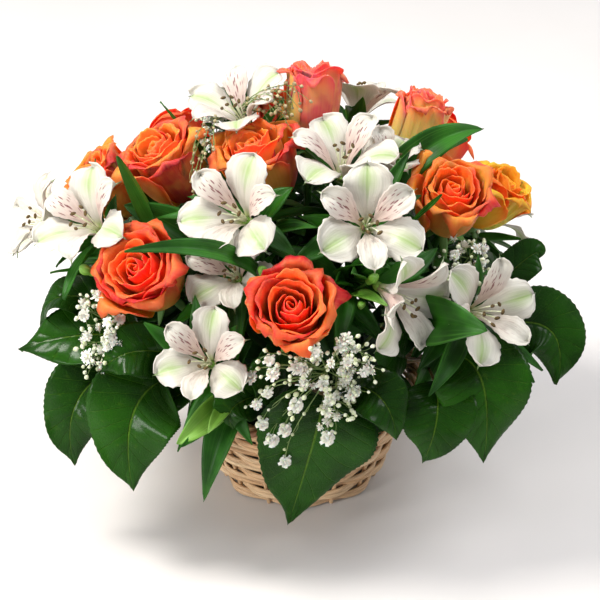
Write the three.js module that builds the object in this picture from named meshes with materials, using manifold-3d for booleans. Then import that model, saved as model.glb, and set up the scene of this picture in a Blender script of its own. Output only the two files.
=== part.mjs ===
// A flower basket arrangement: orange roses, white alstroemerias, salal leaves and gypsophila,
// all standing in a block of floral foam in a round willow basket.
// Millimetres, +Z up. The origin is the centre of the basket's foot, and the front faces -Y.

import * as THREE from "three";
import { mergeVertices } from "three/addons/utils/BufferGeometryUtils.js";
import Module from "manifold-3d";

const wasm = await Module();
wasm.setup();

// Driving dimensions.

const gap = 0.35;

const basket = {
  height: 67,
  footRadius: 50,
  rimRadius: 68,
  wallThickness: 4.5,
  baseThickness: 5,
  weaveDepth: 1.5,
  bandHeight: 8.5,
  seam: 0.5,
  stakeCount: 16,
  borderRadius: 4.6,
};

const liner = { thickness: 1.2, footRadius: 43, rimRadius: 60.5, floor: 5.3, height: 62 };

const foam = { footRadius: 40, sideRadius: 50, shoulderRadius: 38, top: 92, heartHeight: 70 };

const stemReach = { sideways: 33, upward: 10 };

const roseStemRadius = 2.4;
const stalkRadius = 1.9;
const pedicelRadius = 1.2;
const petalThickness = 1.1;
const tepalThickness = 1.2;
const leafThickness = 1.3;

// Roses: the middle of each head, the way it faces, its height, its reach sideways and its spin.

const vermilion = 0xf4471c;
const orange = 0xf77a1f;
const amber = 0xf9992a;
const apricot = 0xf08a4a;

const roses = [
  { centre: [7, 45, 217], axis: [0.05, 0.45, 0.89], height: 45, radius: 23, spin: 20, colour: apricot },
  { centre: [-22, 5, 199], axis: [-0.29, -0.11, 0.95], height: 45, radius: 25, spin: 50, colour: orange },
  { centre: [-74, 15, 193], axis: [-0.45, -0.15, 0.88], height: 44, radius: 24, spin: 0, colour: orange },
  { centre: [-110, 34, 170], axis: [-0.65, -0.05, 0.76], height: 42, radius: 22, spin: 75, colour: amber },
  { centre: [-83, -48, 161], axis: [-0.38, -0.55, 0.74], height: 42, radius: 26, spin: 35, colour: vermilion },
  { centre: [-4, -85, 161], axis: [-0.05, -0.59, 0.81], height: 40, radius: 26, spin: 10, colour: vermilion },
  { centre: [65, 45, 201], axis: [0.3, 0.35, 0.89], height: 44, radius: 22, spin: 60, colour: apricot },
  { centre: [83, -5, 182], axis: [0.1, -0.45, 0.89], height: 43, radius: 23, spin: 30, colour: orange },
  { centre: [111, 26, 166], axis: [0.6, -0.1, 0.79], height: 38, radius: 19, spin: 5, colour: amber },
  { centre: [76, 84, 170], axis: [0.5, 0.65, 0.57], height: 43, radius: 23, spin: 45, colour: vermilion },
  { centre: [-6, 100, 174], axis: [0, 0.75, 0.66], height: 43, radius: 24, spin: 15, colour: orange },
  { centre: [-72, 78, 170], axis: [-0.5, 0.65, 0.57], height: 43, radius: 23, spin: 70, colour: vermilion },
];

// Alstroemerias: each stalk carries its blooms, given by throat and facing, and its leaves.
// A bloom that is less open than 1 is still opening.

const white = 0xf3f0ea;
const leafGreen = 0x3f7a2c;
const salalGreen = 0x1f4a22;
const twigGreen = 0x6f8a4a;

const stalks = [
  {
    name: "back_left",
    blooms: [{ throat: [-34, 36, 218], axis: [-0.3, 0.1, 0.95], spin: 0, size: 0.93 }],
    leaves: [{ via: [-42, 36, 170], to: [-79, 38, 224], width: 10 }],
  },
  {
    name: "back_middle",
    blooms: [
      { throat: [36, 86, 198], axis: [0.25, 0.45, 0.86], spin: 10, size: 0.92 },
      { throat: [-36, 84, 196], axis: [-0.3, 0.5, 0.81], spin: 30, size: 0.92 },
    ],
    leaves: [{ via: [10, 88, 140], to: [40, 138, 160], width: 12 }],
  },
  {
    name: "middle",
    blooms: [
      { throat: [23, -5, 209], axis: [0, -0.2, 0.98], spin: 20, size: 0.95 },
      { throat: [47, 7, 190], axis: [0.05, -0.1, 0.99], spin: 40, size: 0.82, open: 0.55 },
    ],
    leaves: [
      { via: [75, 26, 165], to: [103, 26, 213], width: 14 },
      { via: [52, -30, 170], to: [76, -36, 206], width: 8 },
    ],
  },
  {
    name: "front_right",
    blooms: [
      { throat: [36, -50, 196], axis: [0.05, -0.75, 0.66], spin: 0, size: 0.98 },
      { throat: [52, -76, 166], axis: [0.7, -0.65, -0.05], spin: 15, size: 0.95 },
    ],
    leaves: [{ via: [18, -58, 186], to: [47, -78, 186], width: 10 }],
  },
  {
    name: "front_left",
    blooms: [
      { throat: [-33, -45, 199], axis: [-0.35, -0.6, 0.7], spin: 0, size: 0.97 },
      { throat: [-36, -48, 163], axis: [-0.25, -0.62, 0.74], spin: 25, size: 0.82 },
    ],
    leaves: [{ via: [-66, -14, 191], to: [-91, -92, 211], width: 10 }],
  },
  {
    name: "left",
    blooms: [
      { throat: [-116, -20, 179], axis: [-0.45, -0.45, 0.77], spin: 30, size: 0.95 },
      { throat: [-144, 9, 162], axis: [-0.85, -0.1, 0.5], spin: 55, size: 0.88 },
    ],
    leaves: [
      { via: [-80, -14, 176], to: [-97, -34, 228], width: 14 },
      { via: [-98, -8, 146], to: [-138, -34, 155], width: 9 },
    ],
  },
  {
    name: "low_left",
    blooms: [{ throat: [-50, -88, 134], axis: [-0.3, -0.8, 0.5], spin: 0, size: 0.86 }],
    leaves: [
      { via: [-40, -92, 112], to: [-53, -105, 51], width: 13 },
      { via: [-44, -92, 96], to: [-64, -112, 94], width: 8 },
    ],
  },
  {
    name: "low_right",
    blooms: [
      { throat: [98, -60, 147], axis: [0.45, -0.7, 0.55], spin: 30, size: 0.95 },
      { throat: [112, 64, 136], axis: [0.7, 0.5, 0.5], spin: 30, size: 0.92 },
    ],
    leaves: [{ via: [66, -80, 141], to: [97, -103, 149], width: 15 }],
  },
];

// Salal: each sprig forks above the basket's edge. A leaf is given by where its blade begins and ends.

const sprigs = [
  {
    name: "left",
    fork: [-70, -30, 100],
    leaves: [
      { base: [-90, -40, 116], tip: [-157, -50, 115], width: 42 },
      { base: [-114, -50, 109], tip: [-134, -74, 58], width: 44 },
      { base: [-106, -28, 128], tip: [-146, -38, 119], width: 28 },
      { base: [-100, 10, 118], tip: [-134, 34, 104], width: 43 },
      { base: [-80, 12, 112], tip: [-108, 46, 119], width: 36 },
    ],
  },
  {
    name: "front_left",
    fork: [-52, -52, 100],
    leaves: [
      { base: [-76, -72, 109], tip: [-92, -100, 54], width: 52 },
      { base: [-71, -67, 123], tip: [-108, -81, 121], width: 32 },
    ],
  },
  {
    name: "front",
    fork: [12, -68, 98],
    leaves: [
      { base: [13, -86, 108], tip: [-7, -86, 18], width: 70 },
      { base: [30, -84, 114], tip: [52, -106, 94], width: 31 },
      { base: [-18, -82, 107], tip: [-36, -97, 94], width: 24 },
      { base: [-4, -78, 112], tip: [-28, -94, 128], width: 30 },
    ],
  },
  {
    name: "right",
    fork: [72, -40, 102],
    leaves: [
      { base: [92, -62, 118], tip: [100, -94, 62], width: 60 },
      { base: [71, -74, 108], tip: [58, -98, 72], width: 42 },
      { base: [116, -18, 126], tip: [150, -38, 90], width: 46 },
      { base: [110, -4, 138], tip: [142, -2, 139], width: 26 },
      { base: [100, 8, 108], tip: [140, 38, 96], width: 42 },
      { base: [58, -62, 117], tip: [46, -72, 139], width: 26 },
    ],
  },
  {
    name: "back",
    fork: [8, 66, 100],
    leaves: [
      { base: [-14, 87, 109], tip: [-62, 118, 90], width: 50 },
      { base: [6, 94, 108], tip: [6, 124, 62], width: 58 },
      { base: [33, 84, 108], tip: [82, 112, 88], width: 50 },
      { base: [52, 66, 109], tip: [128, 70, 96], width: 38 },
      { base: [26, 80, 118], tip: [66, 108, 132], width: 41 },
      { base: [-14, 77, 120], tip: [-46, 108, 138], width: 41 },
      { base: [-33, 72, 107], tip: [-108, 82, 92], width: 43 },
      { base: [-22, 62, 107], tip: [-80, 48, 116], width: 38 },
      { base: [32, 60, 106], tip: [92, 46, 116], width: 38 },
    ],
  },
];

// Gypsophila: each spray's fork, the way it opens and how wide, and the length of its branches.

const sprays = [
  { name: "front", fork: [14, -93, 131], aim: [0.1, -0.95, 0.05], branch: 31, branches: 5, open: 1.15, seed: 6 },
  { name: "left", fork: [-100, -62, 138], aim: [-0.8, -0.5, 0.1], branch: 21, branches: 3, open: 0.9, seed: 11 },
  { name: "right", fork: [86, -34, 151], aim: [0.85, -0.4, 0.2], branch: 24, branches: 4, open: 1, seed: 1 },
  { name: "top", fork: [-48, 50, 184], aim: [0, 0.2, 1], branch: 20, branches: 3, open: 0.7, seed: 8 },
];

// Small helpers.

function vector([x, y, z]) {
  return new THREE.Vector3(x, y, z);
}

function ease(from, to, value) {
  return THREE.MathUtils.smoothstep(value, from, to);
}

function bezier(a, b, c, d, t) {
  const s = 1 - t;
  return s * s * s * a + 3 * s * s * t * b + 3 * s * t * t * c + t * t * t * d;
}

function randomFrom(seed) {
  let state = seed * 7919 + 17;
  return () => {
    state = (state * 16807) % 2147483647;
    return state / 2147483647;
  };
}

// Puts a bloom's own +Z along its axis, with its +Y leaning up, then spins it about the axis.
function facing(origin, axis, spinDegrees) {
  const z = vector(axis).normalize();
  const lean = Math.abs(z.z) > 0.995 ? new THREE.Vector3(0, 1, 0) : new THREE.Vector3(0, 0, 1);
  const y = lean.addScaledVector(z, -lean.dot(z)).normalize();
  const x = new THREE.Vector3().crossVectors(y, z);
  const place = new THREE.Matrix4().makeBasis(x, y, z).setPosition(origin);
  return place.multiply(new THREE.Matrix4().makeRotationZ(THREE.MathUtils.degToRad(spinDegrees)));
}

// Closed meshes to solids and back.

function meshArrays(geometry) {
  const bare = geometry.clone();
  bare.deleteAttribute("normal");
  bare.deleteAttribute("uv");
  const merged = mergeVertices(bare, 1e-4);
  const corners = merged.index.array;
  const kept = [];
  for (let i = 0; i < corners.length; i += 3) {
    const [a, b, c] = [corners[i], corners[i + 1], corners[i + 2]];
    if (a !== b && b !== c && c !== a) {
      kept.push(a, b, c);
    }
  }
  const positions = Float32Array.from(merged.attributes.position.array);
  return { positions, triangles: Uint32Array.from(kept) };
}

function toSolid(geometry) {
  const { positions, triangles } = meshArrays(geometry);
  return new wasm.Manifold(new wasm.Mesh({ numProp: 3, vertProperties: positions, triVerts: triangles }));
}

function toGeometry(solid) {
  const mesh = solid.getMesh();
  const geometry = new THREE.BufferGeometry();
  geometry.setAttribute("position", new THREE.BufferAttribute(Float32Array.from(mesh.vertProperties), 3));
  geometry.setIndex(new THREE.BufferAttribute(Uint32Array.from(mesh.triVerts), 1));
  return geometry;
}

function joined(solids) {
  return solids.reduce((whole, next) => whole.add(next));
}

// A scrap that a cut leaves loose, or a hollow that a join seals, isn't kept.
function largestBody(solid) {
  const bodies = solid.decompose();
  return bodies.reduce((best, next) => (next.volume() > best.volume() ? next : best));
}

// Shapes that the plants share.

// A thin blade over u = -1..1 across and v = 0..1 along, with thin edges and a point at each end.
// It has a ring of points at each station, and both faces are split along the same diagonals.
function blade(pointAt, stations, columns, thickness) {
  const positions = [];
  const triangles = [];
  const step = 1e-3;
  const add = (point) => positions.push(point.x, point.y, point.z) / 3 - 1;
  const face = (a, b, c) => {
    if (a !== b && b !== c && c !== a) {
      triangles.push(a, b, c);
    }
  };
  const normalAt = (u, v) => {
    const across = pointAt(u + step, v).sub(pointAt(u - step, v));
    const along = pointAt(u, v + step).sub(pointAt(u, v - step));
    return across.cross(along).normalize();
  };
  const ringAt = (v) => {
    const upper = [];
    const lower = [];
    for (let column = 0; column <= columns; column++) {
      const u = -1 + (2 * column) / columns;
      const point = pointAt(u, v);
      if (column === 0 || column === columns) {
        upper.push(add(point));
        lower.push(upper[column]);
      } else {
        const offset = normalAt(u, v).multiplyScalar(thickness / 2);
        upper.push(add(point.clone().add(offset)));
        lower.push(add(point.clone().sub(offset)));
      }
    }
    return { upper, lower };
  };
  const root = add(pointAt(0, 0));
  const tip = add(pointAt(0, 1));
  const rings = stations.map(ringAt);
  const first = rings[0];
  const last = rings[rings.length - 1];
  for (let column = 0; column < columns; column++) {
    const next = column + 1;
    face(root, first.upper[next], first.upper[column]);
    face(root, first.lower[column], first.lower[next]);
    for (let i = 0; i + 1 < rings.length; i++) {
      const here = rings[i];
      const there = rings[i + 1];
      face(here.upper[column], here.upper[next], there.upper[next]);
      face(here.upper[column], there.upper[next], there.upper[column]);
      face(here.lower[column], there.lower[next], here.lower[next]);
      face(here.lower[column], there.lower[column], there.lower[next]);
    }
    face(last.upper[column], last.upper[next], tip);
    face(last.lower[column], tip, last.lower[next]);
  }
  const geometry = new THREE.BufferGeometry();
  geometry.setAttribute("position", new THREE.Float32BufferAttribute(positions, 3));
  geometry.setIndex(triangles);
  return geometry;
}

function roundSection(radius, sides) {
  const section = new THREE.Shape();
  for (let i = 0; i < sides; i++) {
    const angle = (2 * Math.PI * i) / sides;
    const x = radius * Math.cos(angle);
    const y = radius * Math.sin(angle);
    if (i === 0) {
      section.moveTo(x, y);
    } else {
      section.lineTo(x, y);
    }
  }
  section.closePath();
  return section;
}

function tube(curve, radius, sides, steps) {
  const section = roundSection(radius, sides);
  return new THREE.ExtrudeGeometry(section, { steps, extrudePath: curve, bevelEnabled: false });
}

// A stem's route: it leaves the foam heading outward and comes up under the bloom along its axis.
function stemRoute(from, leave, to, arrive) {
  const reach = from.distanceTo(to) / 3;
  const a = from.clone().addScaledVector(leave, reach);
  const b = to.clone().addScaledVector(arrive, -reach);
  return new THREE.CubicBezierCurve3(from, a, b, to);
}

const heart = new THREE.Vector3(0, 0, foam.heartHeight);

function outward(target) {
  return target.clone().sub(heart).normalize();
}

// Where a stem ends in the foam: inside its top, on the side that the stem leans to.
function rootInFoam(target) {
  const way = outward(target);
  return new THREE.Vector3(
    way.x * stemReach.sideways,
    way.y * stemReach.sideways,
    foam.heartHeight + Math.max(0, way.z) * stemReach.upward,
  );
}

// Leaves.

// A leaf starts a little below its fork, inside the stalk.
function leafRoot(fork) {
  return fork.clone().addScaledVector(outward(fork), -3.5);
}

// Half width along a leaf that is 1 wide: a narrow stalk, then salal is broad near its base and
// alstroemeria is narrow throughout.
const salalStalk = 0.3;

function salalWidth(v) {
  if (v < salalStalk) {
    return 0.03;
  }
  const t = (v - salalStalk) / (1 - salalStalk);
  return 0.03 + 0.49 * Math.pow(Math.sin(Math.PI * Math.pow(t, 0.7)), 0.6) * (1 - 0.2 * t * t * t);
}

// The middle control point that makes a leaf's curve pass through its blade's beginning.
function salalVia(from, base, tip) {
  const s = 1 - salalStalk;
  const ends = from.clone().multiplyScalar(s * s).addScaledVector(tip, salalStalk * salalStalk);
  return base.clone().sub(ends).divideScalar(2 * s * salalStalk);
}

function strapWidth(v) {
  return 0.08 + 0.44 * Math.pow(Math.sin(Math.PI * Math.pow(v, 1.2)), 1.2);
}

const salalStations = [salalStalk, 0.39, 0.52, 0.69, 0.87];
const strapStations = [0.12, 0.35, 0.6, 0.83];

// A leaf along a curve, its face turned out from the middle of the arrangement and folded at the midrib.
function leafSurface(from, via, to, width, widthAt, fold) {
  const midrib = new THREE.QuadraticBezierCurve3(from, via, to);
  const out = outward(midrib.getPoint(0.6));
  return (u, v) => {
    const t = Math.min(Math.max(v, 0), 1);
    const along = midrib.getTangent(t);
    const side = new THREE.Vector3().crossVectors(along, out).normalize();
    const raise = new THREE.Vector3().crossVectors(side, along);
    const half = width * widthAt(t);
    return midrib
      .getPoint(t)
      .addScaledVector(side, u * half)
      .addScaledVector(raise, fold * Math.abs(u) * half);
  };
}

// Roses. Each petal follows a curve of radius and height, wraps round the head and leans into the next one.

function petalSurface(rose, ring, turn) {
  const { height, radius } = rose;
  return (u, v) => {
    const wrap = 0.42 + 0.58 * Math.sin((Math.PI / 2) * Math.min(1, v / 0.6));
    const crown = v < 0.6 ? 1 : Math.sqrt(Math.max(0, 1 - Math.pow((v - 0.6) / 0.4, 2.4)));
    const angle = turn + u * ring.halfAngle * wrap * crown;
    const lean = ring.lean * u;
    const r = radius * bezier(ring.radii[0], ring.radii[1], ring.radii[2], ring.radii[3], v) + lean;
    const z = height * bezier(ring.heights[0], ring.heights[1], ring.heights[2], ring.heights[3], v);
    const droop = ring.droop * u * u * v;
    return new THREE.Vector3(r * Math.cos(angle), r * Math.sin(angle), z - droop);
  };
}

const innerPetals = {
  count: 3,
  halfAngle: 1.12,
  lean: 1.4,
  droop: 2,
  radii: [0.12, 0.86, 0.62, 0.6],
  heights: [0.12, 0.3, 0.85, 0.99],
  stations: [0.62],
};

const outerPetals = {
  count: 5,
  halfAngle: 0.78,
  lean: 1.3,
  droop: 3,
  radii: [0.12, 1.12, 0.62, 1.12],
  heights: [0.06, 0.05, 1.05, 0.86],
  stations: [0.35, 0.8],
};

// The bud at the heart of a head: a closed spiral with a raised fold that climbs round it.
function roseBud(rose) {
  const profile = [
    [0, 0],
    [0.26, 0],
    [0.45, 0.4],
    [0.38, 0.85],
    [0.2, 0.95],
    [0, 0.86],
  ];
  const points = profile.map(([r, z]) => new THREE.Vector2(r * rose.radius, z * rose.height));
  const sides = 8;
  const bud = new THREE.LatheGeometry(points, sides);
  bud.rotateX(Math.PI / 2);
  const position = bud.attributes.position;
  for (let i = 0; i < position.count; i++) {
    const x = position.getX(i);
    const y = position.getY(i);
    const z = position.getZ(i);
    const fold = 1 + 0.12 * Math.sin(3 * Math.atan2(y, x) + z * 0.28) * ease(0.2, 0.6, z / rose.height);
    position.setXYZ(i, x * fold, y * fold, z);
  }
  return bud;
}

function petals(rose, ring, firstTurn) {
  return Array.from({ length: ring.count }, (_, i) => {
    const turn = firstTurn + (2 * Math.PI * i) / ring.count;
    return toSolid(blade(petalSurface(rose, ring, turn), ring.stations, 3, petalThickness));
  });
}

function roseHead(rose) {
  const parts = [toSolid(roseBud(rose)), ...petals(rose, innerPetals, 0.4), ...petals(rose, outerPetals, 0)];
  return largestBody(joined(parts));
}

const receptacle = { radius: 5.5, neck: 2.6, height: 8, seat: 5 };
const sepals = { count: 5, reach: 19, droop: 9 };

// The cup under a rose head, in the head's own frame, with its rim drawn out into hanging sepals.
function roseCalyx() {
  const points = [
    [0, -receptacle.height],
    [receptacle.neck, -receptacle.height],
    [receptacle.radius, -receptacle.height * 0.4],
    [receptacle.seat, -gap],
    [0, -gap],
  ];
  const rim = 2;
  const calyx = new THREE.LatheGeometry(points.map(([r, z]) => new THREE.Vector2(r, z)), 2 * sepals.count);
  calyx.rotateX(Math.PI / 2);
  const position = calyx.attributes.position;
  for (let i = 0; i < position.count; i++) {
    const step = Math.floor(i / points.length);
    if (i % points.length === rim && step % 2 === 1) {
      const stretch = sepals.reach / receptacle.radius;
      const z = position.getZ(i) - sepals.droop;
      position.setXYZ(i, position.getX(i) * stretch, position.getY(i) * stretch, z);
    }
  }
  return calyx;
}

// Alstroemeria blooms: three broad outer tepals and three narrow inner ones round a slim throat.

const outerTepal = { reach: 33, lift: 25, width: 23, cup: 1.5, claw: 2.4 };
const innerTepal = { reach: 28, lift: 31, width: 14, cup: 2.5, claw: 1.9 };
const tepalStations = [0.5, 0.83];
const throatHeight = 18;
const throatRadius = { foot: 2.2, top: 5 };

function tepalSurface(tepal, turn, open) {
  return (u, v) => {
    const spread = 0.14 + 0.86 * ease(0.15, 0.72, v);
    const tipRound = v < 0.7 ? 1 : Math.sqrt(Math.max(0, 1 - Math.pow((v - 0.7) / 0.3, 2)));
    const half = 0.5 * tepal.width * spread * tipRound;
    const reach = tepal.reach * open;
    const r = bezier(tepal.claw, reach * 0.3, reach * 0.6, reach, v);
    const rise = bezier(throatHeight - 7, throatHeight + 2, tepal.lift + 5, tepal.lift, v);
    return new THREE.Vector3(
      r * Math.cos(turn) - u * half * Math.sin(turn),
      r * Math.sin(turn) + u * half * Math.cos(turn),
      rise + tepal.cup * u * u * v,
    );
  };
}

function alstroemeriaBloom(size, open) {
  const throat = new THREE.CylinderGeometry(throatRadius.top, throatRadius.foot, throatHeight - 4, 6, 1);
  throat.rotateX(Math.PI / 2).translate(0, 0, (throatHeight - 4) / 2);
  const parts = [toSolid(throat)];
  for (let i = 0; i < 3; i++) {
    const outerTurn = Math.PI / 2 + (2 * Math.PI * i) / 3;
    const innerTurn = outerTurn + Math.PI / 3;
    const outer = tepalSurface(outerTepal, outerTurn, open);
    const inner = tepalSurface(innerTepal, innerTurn, open);
    parts.push(toSolid(blade(outer, tepalStations, 2, tepalThickness)));
    parts.push(toSolid(blade(inner, tepalStations, 2, tepalThickness)));
  }
  return largestBody(joined(parts)).scale(size);
}

// Gypsophila florets and twigs.

const floret = { radius: 3.9, depth: 2.6 };
const twigRadius = { main: 1.2, floret: 0.6 };
const branchStep = 0.05;

// A floret on its own three-sided twig, which opens into six low petals. Its middle is at the origin.
function floretOnTwig(length) {
  const positions = [];
  const ring = (count, radius, z) => {
    for (let i = 0; i < count; i++) {
      const angle = (2 * Math.PI * i) / count;
      positions.push(radius * Math.cos(angle), radius * Math.sin(angle), z);
    }
  };
  ring(3, twigRadius.floret, -length);
  ring(3, twigRadius.floret, -floret.depth);
  ring(6, floret.radius, 0);
  positions.push(0, 0, floret.depth * 0.4);
  const triangles = [0, 2, 1];
  for (let i = 0; i < 3; i++) {
    const j = (i + 1) % 3;
    const outer = 6 + 2 * i;
    triangles.push(i, j, 3 + j, i, 3 + j, 3 + i);
    triangles.push(3 + i, outer + 1, outer, 3 + i, 3 + j, outer + 1, 3 + j, 6 + 2 * j, outer + 1);
    triangles.push(outer, outer + 1, 12, outer + 1, 6 + 2 * j, 12);
  }
  const geometry = new THREE.BufferGeometry();
  geometry.setAttribute("position", new THREE.Float32BufferAttribute(positions, 3));
  geometry.setIndex(triangles);
  return geometry;
}

// Directions spread evenly in a cone round the aim, by the golden angle.
function coneDirection(aim, index, count, openness, turn) {
  const place = facing(new THREE.Vector3(), aim.toArray(), 0);
  const tilt = openness * Math.sqrt((index + 0.5) / count);
  const angle = index * 2.39996 + turn;
  const aside = Math.sin(tilt);
  const local = new THREE.Vector3(aside * Math.cos(angle), aside * Math.sin(angle), Math.cos(tilt));
  return local.applyMatrix4(place);
}

// Each branch ends in a floret and carries one more on either side.
function sprayTwigs(spray, route) {
  const random = randomFrom(spray.seed);
  const aim = vector(spray.aim).normalize();
  const parts = [];
  for (let i = 0; i < spray.branches; i++) {
    const start = route.getPoint(1 - branchStep * (spray.branches - 1 - i));
    const way = coneDirection(aim, i, spray.branches, spray.open, 0.5 * random());
    const length = spray.branch * (0.8 + 0.4 * random());
    const end = start.clone().addScaledVector(way, length);
    const along = facing(end, way.toArray(), 360 * random());
    parts.push(toSolid(floretOnTwig(length + 0.5).applyMatrix4(along)));
    for (const side of [-1, 1]) {
      const joint = start.clone().addScaledVector(way, length * (0.55 + 0.08 * side));
      const across = new THREE.Vector3(side, 0, 0).transformDirection(along);
      const turn = way.clone().multiplyScalar(0.7).add(across).normalize();
      const reach = length * (0.38 + 0.12 * random());
      const sideEnd = joint.clone().addScaledVector(turn, reach);
      const place = facing(sideEnd, turn.toArray(), 0);
      parts.push(toSolid(floretOnTwig(reach + 0.3).applyMatrix4(place)));
    }
  }
  return parts;
}

// The basket.

function wallRadius(z) {
  return basket.footRadius + (basket.rimRadius - basket.footRadius) * Math.pow(z / basket.height, 0.92);
}

const borderMiddle = basket.height - 1;
const wallTop = borderMiddle - basket.borderRadius - gap;
const wallFoot = 0.4;

// Bands of rods pass in front of one stake and behind the next, and the next band up does the opposite.
function basketWall() {
  const bands = Math.round(wallTop / basket.bandHeight);
  const height = (wallTop - wallFoot) / bands;
  const outline = [];
  for (let band = 0; band < bands; band++) {
    const low = wallFoot + height * band;
    const high = low + height;
    outline.push({ r: wallRadius(low), z: band === 0 ? low : low + basket.seam, band });
    outline.push({ r: wallRadius(high), z: band === bands - 1 ? high : high - basket.seam, band });
  }
  outline.push({ r: wallRadius(wallTop) - basket.wallThickness, z: wallTop, band: null });
  outline.push({ r: wallRadius(wallFoot) - basket.wallThickness, z: wallFoot, band: null });
  outline.push(outline[0]);
  const points = outline.map(({ r, z }) => new THREE.Vector2(r, z));
  const wall = new THREE.LatheGeometry(points, 2 * basket.stakeCount);
  wall.rotateX(Math.PI / 2);
  const position = wall.attributes.position;
  for (let i = 0; i < position.count; i++) {
    const { band } = outline[i % outline.length];
    if (band !== null) {
      const x = position.getX(i);
      const y = position.getY(i);
      const wave = (basket.stakeCount / 2) * Math.atan2(y, x) + Math.PI * band;
      const pushed = 1 + (basket.weaveDepth * Math.cos(wave)) / Math.hypot(x, y);
      position.setXYZ(i, x * pushed, y * pushed, position.getZ(i));
    }
  }
  return wall;
}

function basketBase() {
  const radius = basket.footRadius - basket.wallThickness - gap;
  const base = new THREE.CylinderGeometry(radius, radius, basket.baseThickness, 2 * basket.stakeCount, 1);
  return base.rotateX(Math.PI / 2).translate(0, 0, basket.baseThickness / 2);
}

// The border is a ring of three strands, drawn as a lobed section that turns as it goes round.
function basketBorder() {
  const sides = 6;
  const steps = 32;
  const border = new THREE.TorusGeometry(basket.rimRadius, basket.borderRadius, sides, steps);
  const position = border.attributes.position;
  for (let side = 0; side <= sides; side++) {
    for (let step = 0; step <= steps; step++) {
      const round = (2 * Math.PI * step) / steps;
      const turn = (2 * Math.PI * (side + step / 2)) / sides;
      const radius = basket.borderRadius * (side % 2 === 0 ? 1 : 0.8);
      const reach = basket.rimRadius + radius * Math.cos(turn);
      const z = borderMiddle + radius * Math.sin(turn);
      position.setXYZ(side * (steps + 1) + step, reach * Math.cos(round), reach * Math.sin(round), z);
    }
  }
  return border;
}

function basketLiner() {
  const { thickness, footRadius, rimRadius, floor, height } = liner;
  const points = [
    [0, floor],
    [footRadius, floor],
    [rimRadius, height],
    [rimRadius - thickness, height],
    [footRadius - thickness, floor + thickness],
    [0, floor + thickness],
  ];
  return new THREE.LatheGeometry(points.map(([r, z]) => new THREE.Vector2(r, z)), 20).rotateX(Math.PI / 2);
}

function foamBlock() {
  const floor = liner.floor + liner.thickness + gap;
  const points = [
    [0, floor],
    [foam.footRadius, floor],
    [foam.sideRadius, 62],
    [foam.sideRadius, 84],
    [foam.shoulderRadius, foam.top],
    [0, foam.top],
  ];
  return new THREE.LatheGeometry(points.map(([r, z]) => new THREE.Vector2(r, z)), 14).rotateX(Math.PI / 2);
}

// Nodes and their materials.

const arrangement = new THREE.Group();

function material(colour, roughness) {
  return new THREE.MeshStandardMaterial({ color: colour, roughness, metalness: 0 });
}

function addNode(name, solid, colour, roughness, place = new THREE.Matrix4()) {
  const mesh = new THREE.Mesh(toGeometry(solid), material(colour, roughness));
  mesh.name = name;
  place.decompose(mesh.position, mesh.quaternion, mesh.scale);
  arrangement.add(mesh);
}

// A stem and the plain hole that it stands in.

const stemSides = 4;
const stemSteps = 3;

function stemAlong(route, radius) {
  return { solid: toSolid(tube(route, radius, stemSides, stemSteps)), route, radius };
}

const foamHoles = [];

function foamStem(target, end, arrive, radius) {
  const root = rootInFoam(target);
  const route = stemRoute(root, outward(target), end, arrive);
  const below = root.clone().addScaledVector(outward(target), -gap);
  const holeRoute = stemRoute(below, outward(target), end, arrive);
  foamHoles.push(stemAlong(holeRoute, radius + gap * Math.SQRT2).solid);
  return stemAlong(route, radius);
}

function stem(from, leave, to, arrive, radius) {
  return stemAlong(stemRoute(from, leave, to, arrive), radius).solid;
}

// Roses.

roses.forEach((rose, index) => {
  const name = `rose_${String(index + 1).padStart(2, "0")}`;
  const axis = vector(rose.axis).normalize();
  const foot = vector(rose.centre).addScaledVector(axis, -rose.height / 2);
  const neck = foot.clone().addScaledVector(axis, 1 - receptacle.height);
  const place = facing(foot, rose.axis, rose.spin);
  const calyx = toSolid(roseCalyx()).transform(place.elements);
  const stalk = foamStem(neck, neck, axis, roseStemRadius).solid;
  addNode(`${name}_head`, roseHead(rose), rose.colour, 0.6, place);
  addNode(`${name}_stem`, largestBody(calyx.add(stalk)), leafGreen, 0.6);
});

// Alstroemerias.

for (const stalk of stalks) {
  const blooms = stalk.blooms.map(({ throat, axis, spin, size, open = 1 }) => {
    const way = vector(axis).normalize();
    const foot = vector(throat).addScaledVector(way, -throatHeight * size);
    return { way, foot, size, open, place: facing(foot, axis, spin) };
  });
  const feet = blooms.reduce((sum, { foot }) => sum.add(foot), new THREE.Vector3());
  const fork = heart.clone().lerp(feet.divideScalar(blooms.length), 0.5);
  const out = outward(fork);
  const start = fork.clone().addScaledVector(out, -1);
  const pedicels = blooms.map(({ way, foot }) => {
    return stem(start, out, foot.clone().addScaledVector(way, -gap), way, pedicelRadius);
  });
  const leaves = stalk.leaves.map(({ via, to, width }) => {
    const surface = leafSurface(leafRoot(fork), vector(via), vector(to), width, strapWidth, 0.5);
    return toSolid(blade(surface, strapStations, 2, leafThickness));
  });
  const main = foamStem(fork, fork, out, stalkRadius).solid;
  const whole = largestBody(joined([main, ...pedicels, ...leaves]));
  addNode(`alstroemeria_${stalk.name}_stalk`, whole, leafGreen, 0.5);
  blooms.forEach(({ place, size, open }, index) => {
    const bloom = alstroemeriaBloom(size, open);
    addNode(`alstroemeria_${stalk.name}_bloom_${index + 1}`, bloom, white, 0.55, place);
  });
}

// Salal sprigs.

for (const sprig of sprigs) {
  const fork = vector(sprig.fork);
  const leaves = sprig.leaves.map(({ base, tip, width }) => {
    const root = leafRoot(fork);
    const via = salalVia(root, vector(base), vector(tip));
    const surface = leafSurface(root, via, vector(tip), width, salalWidth, 0.25);
    return toSolid(blade(surface, salalStations, 2, leafThickness));
  });
  const main = foamStem(fork, fork, outward(fork), stalkRadius).solid;
  addNode(`salal_${sprig.name}`, largestBody(joined([main, ...leaves])), salalGreen, 0.35);
}

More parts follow.
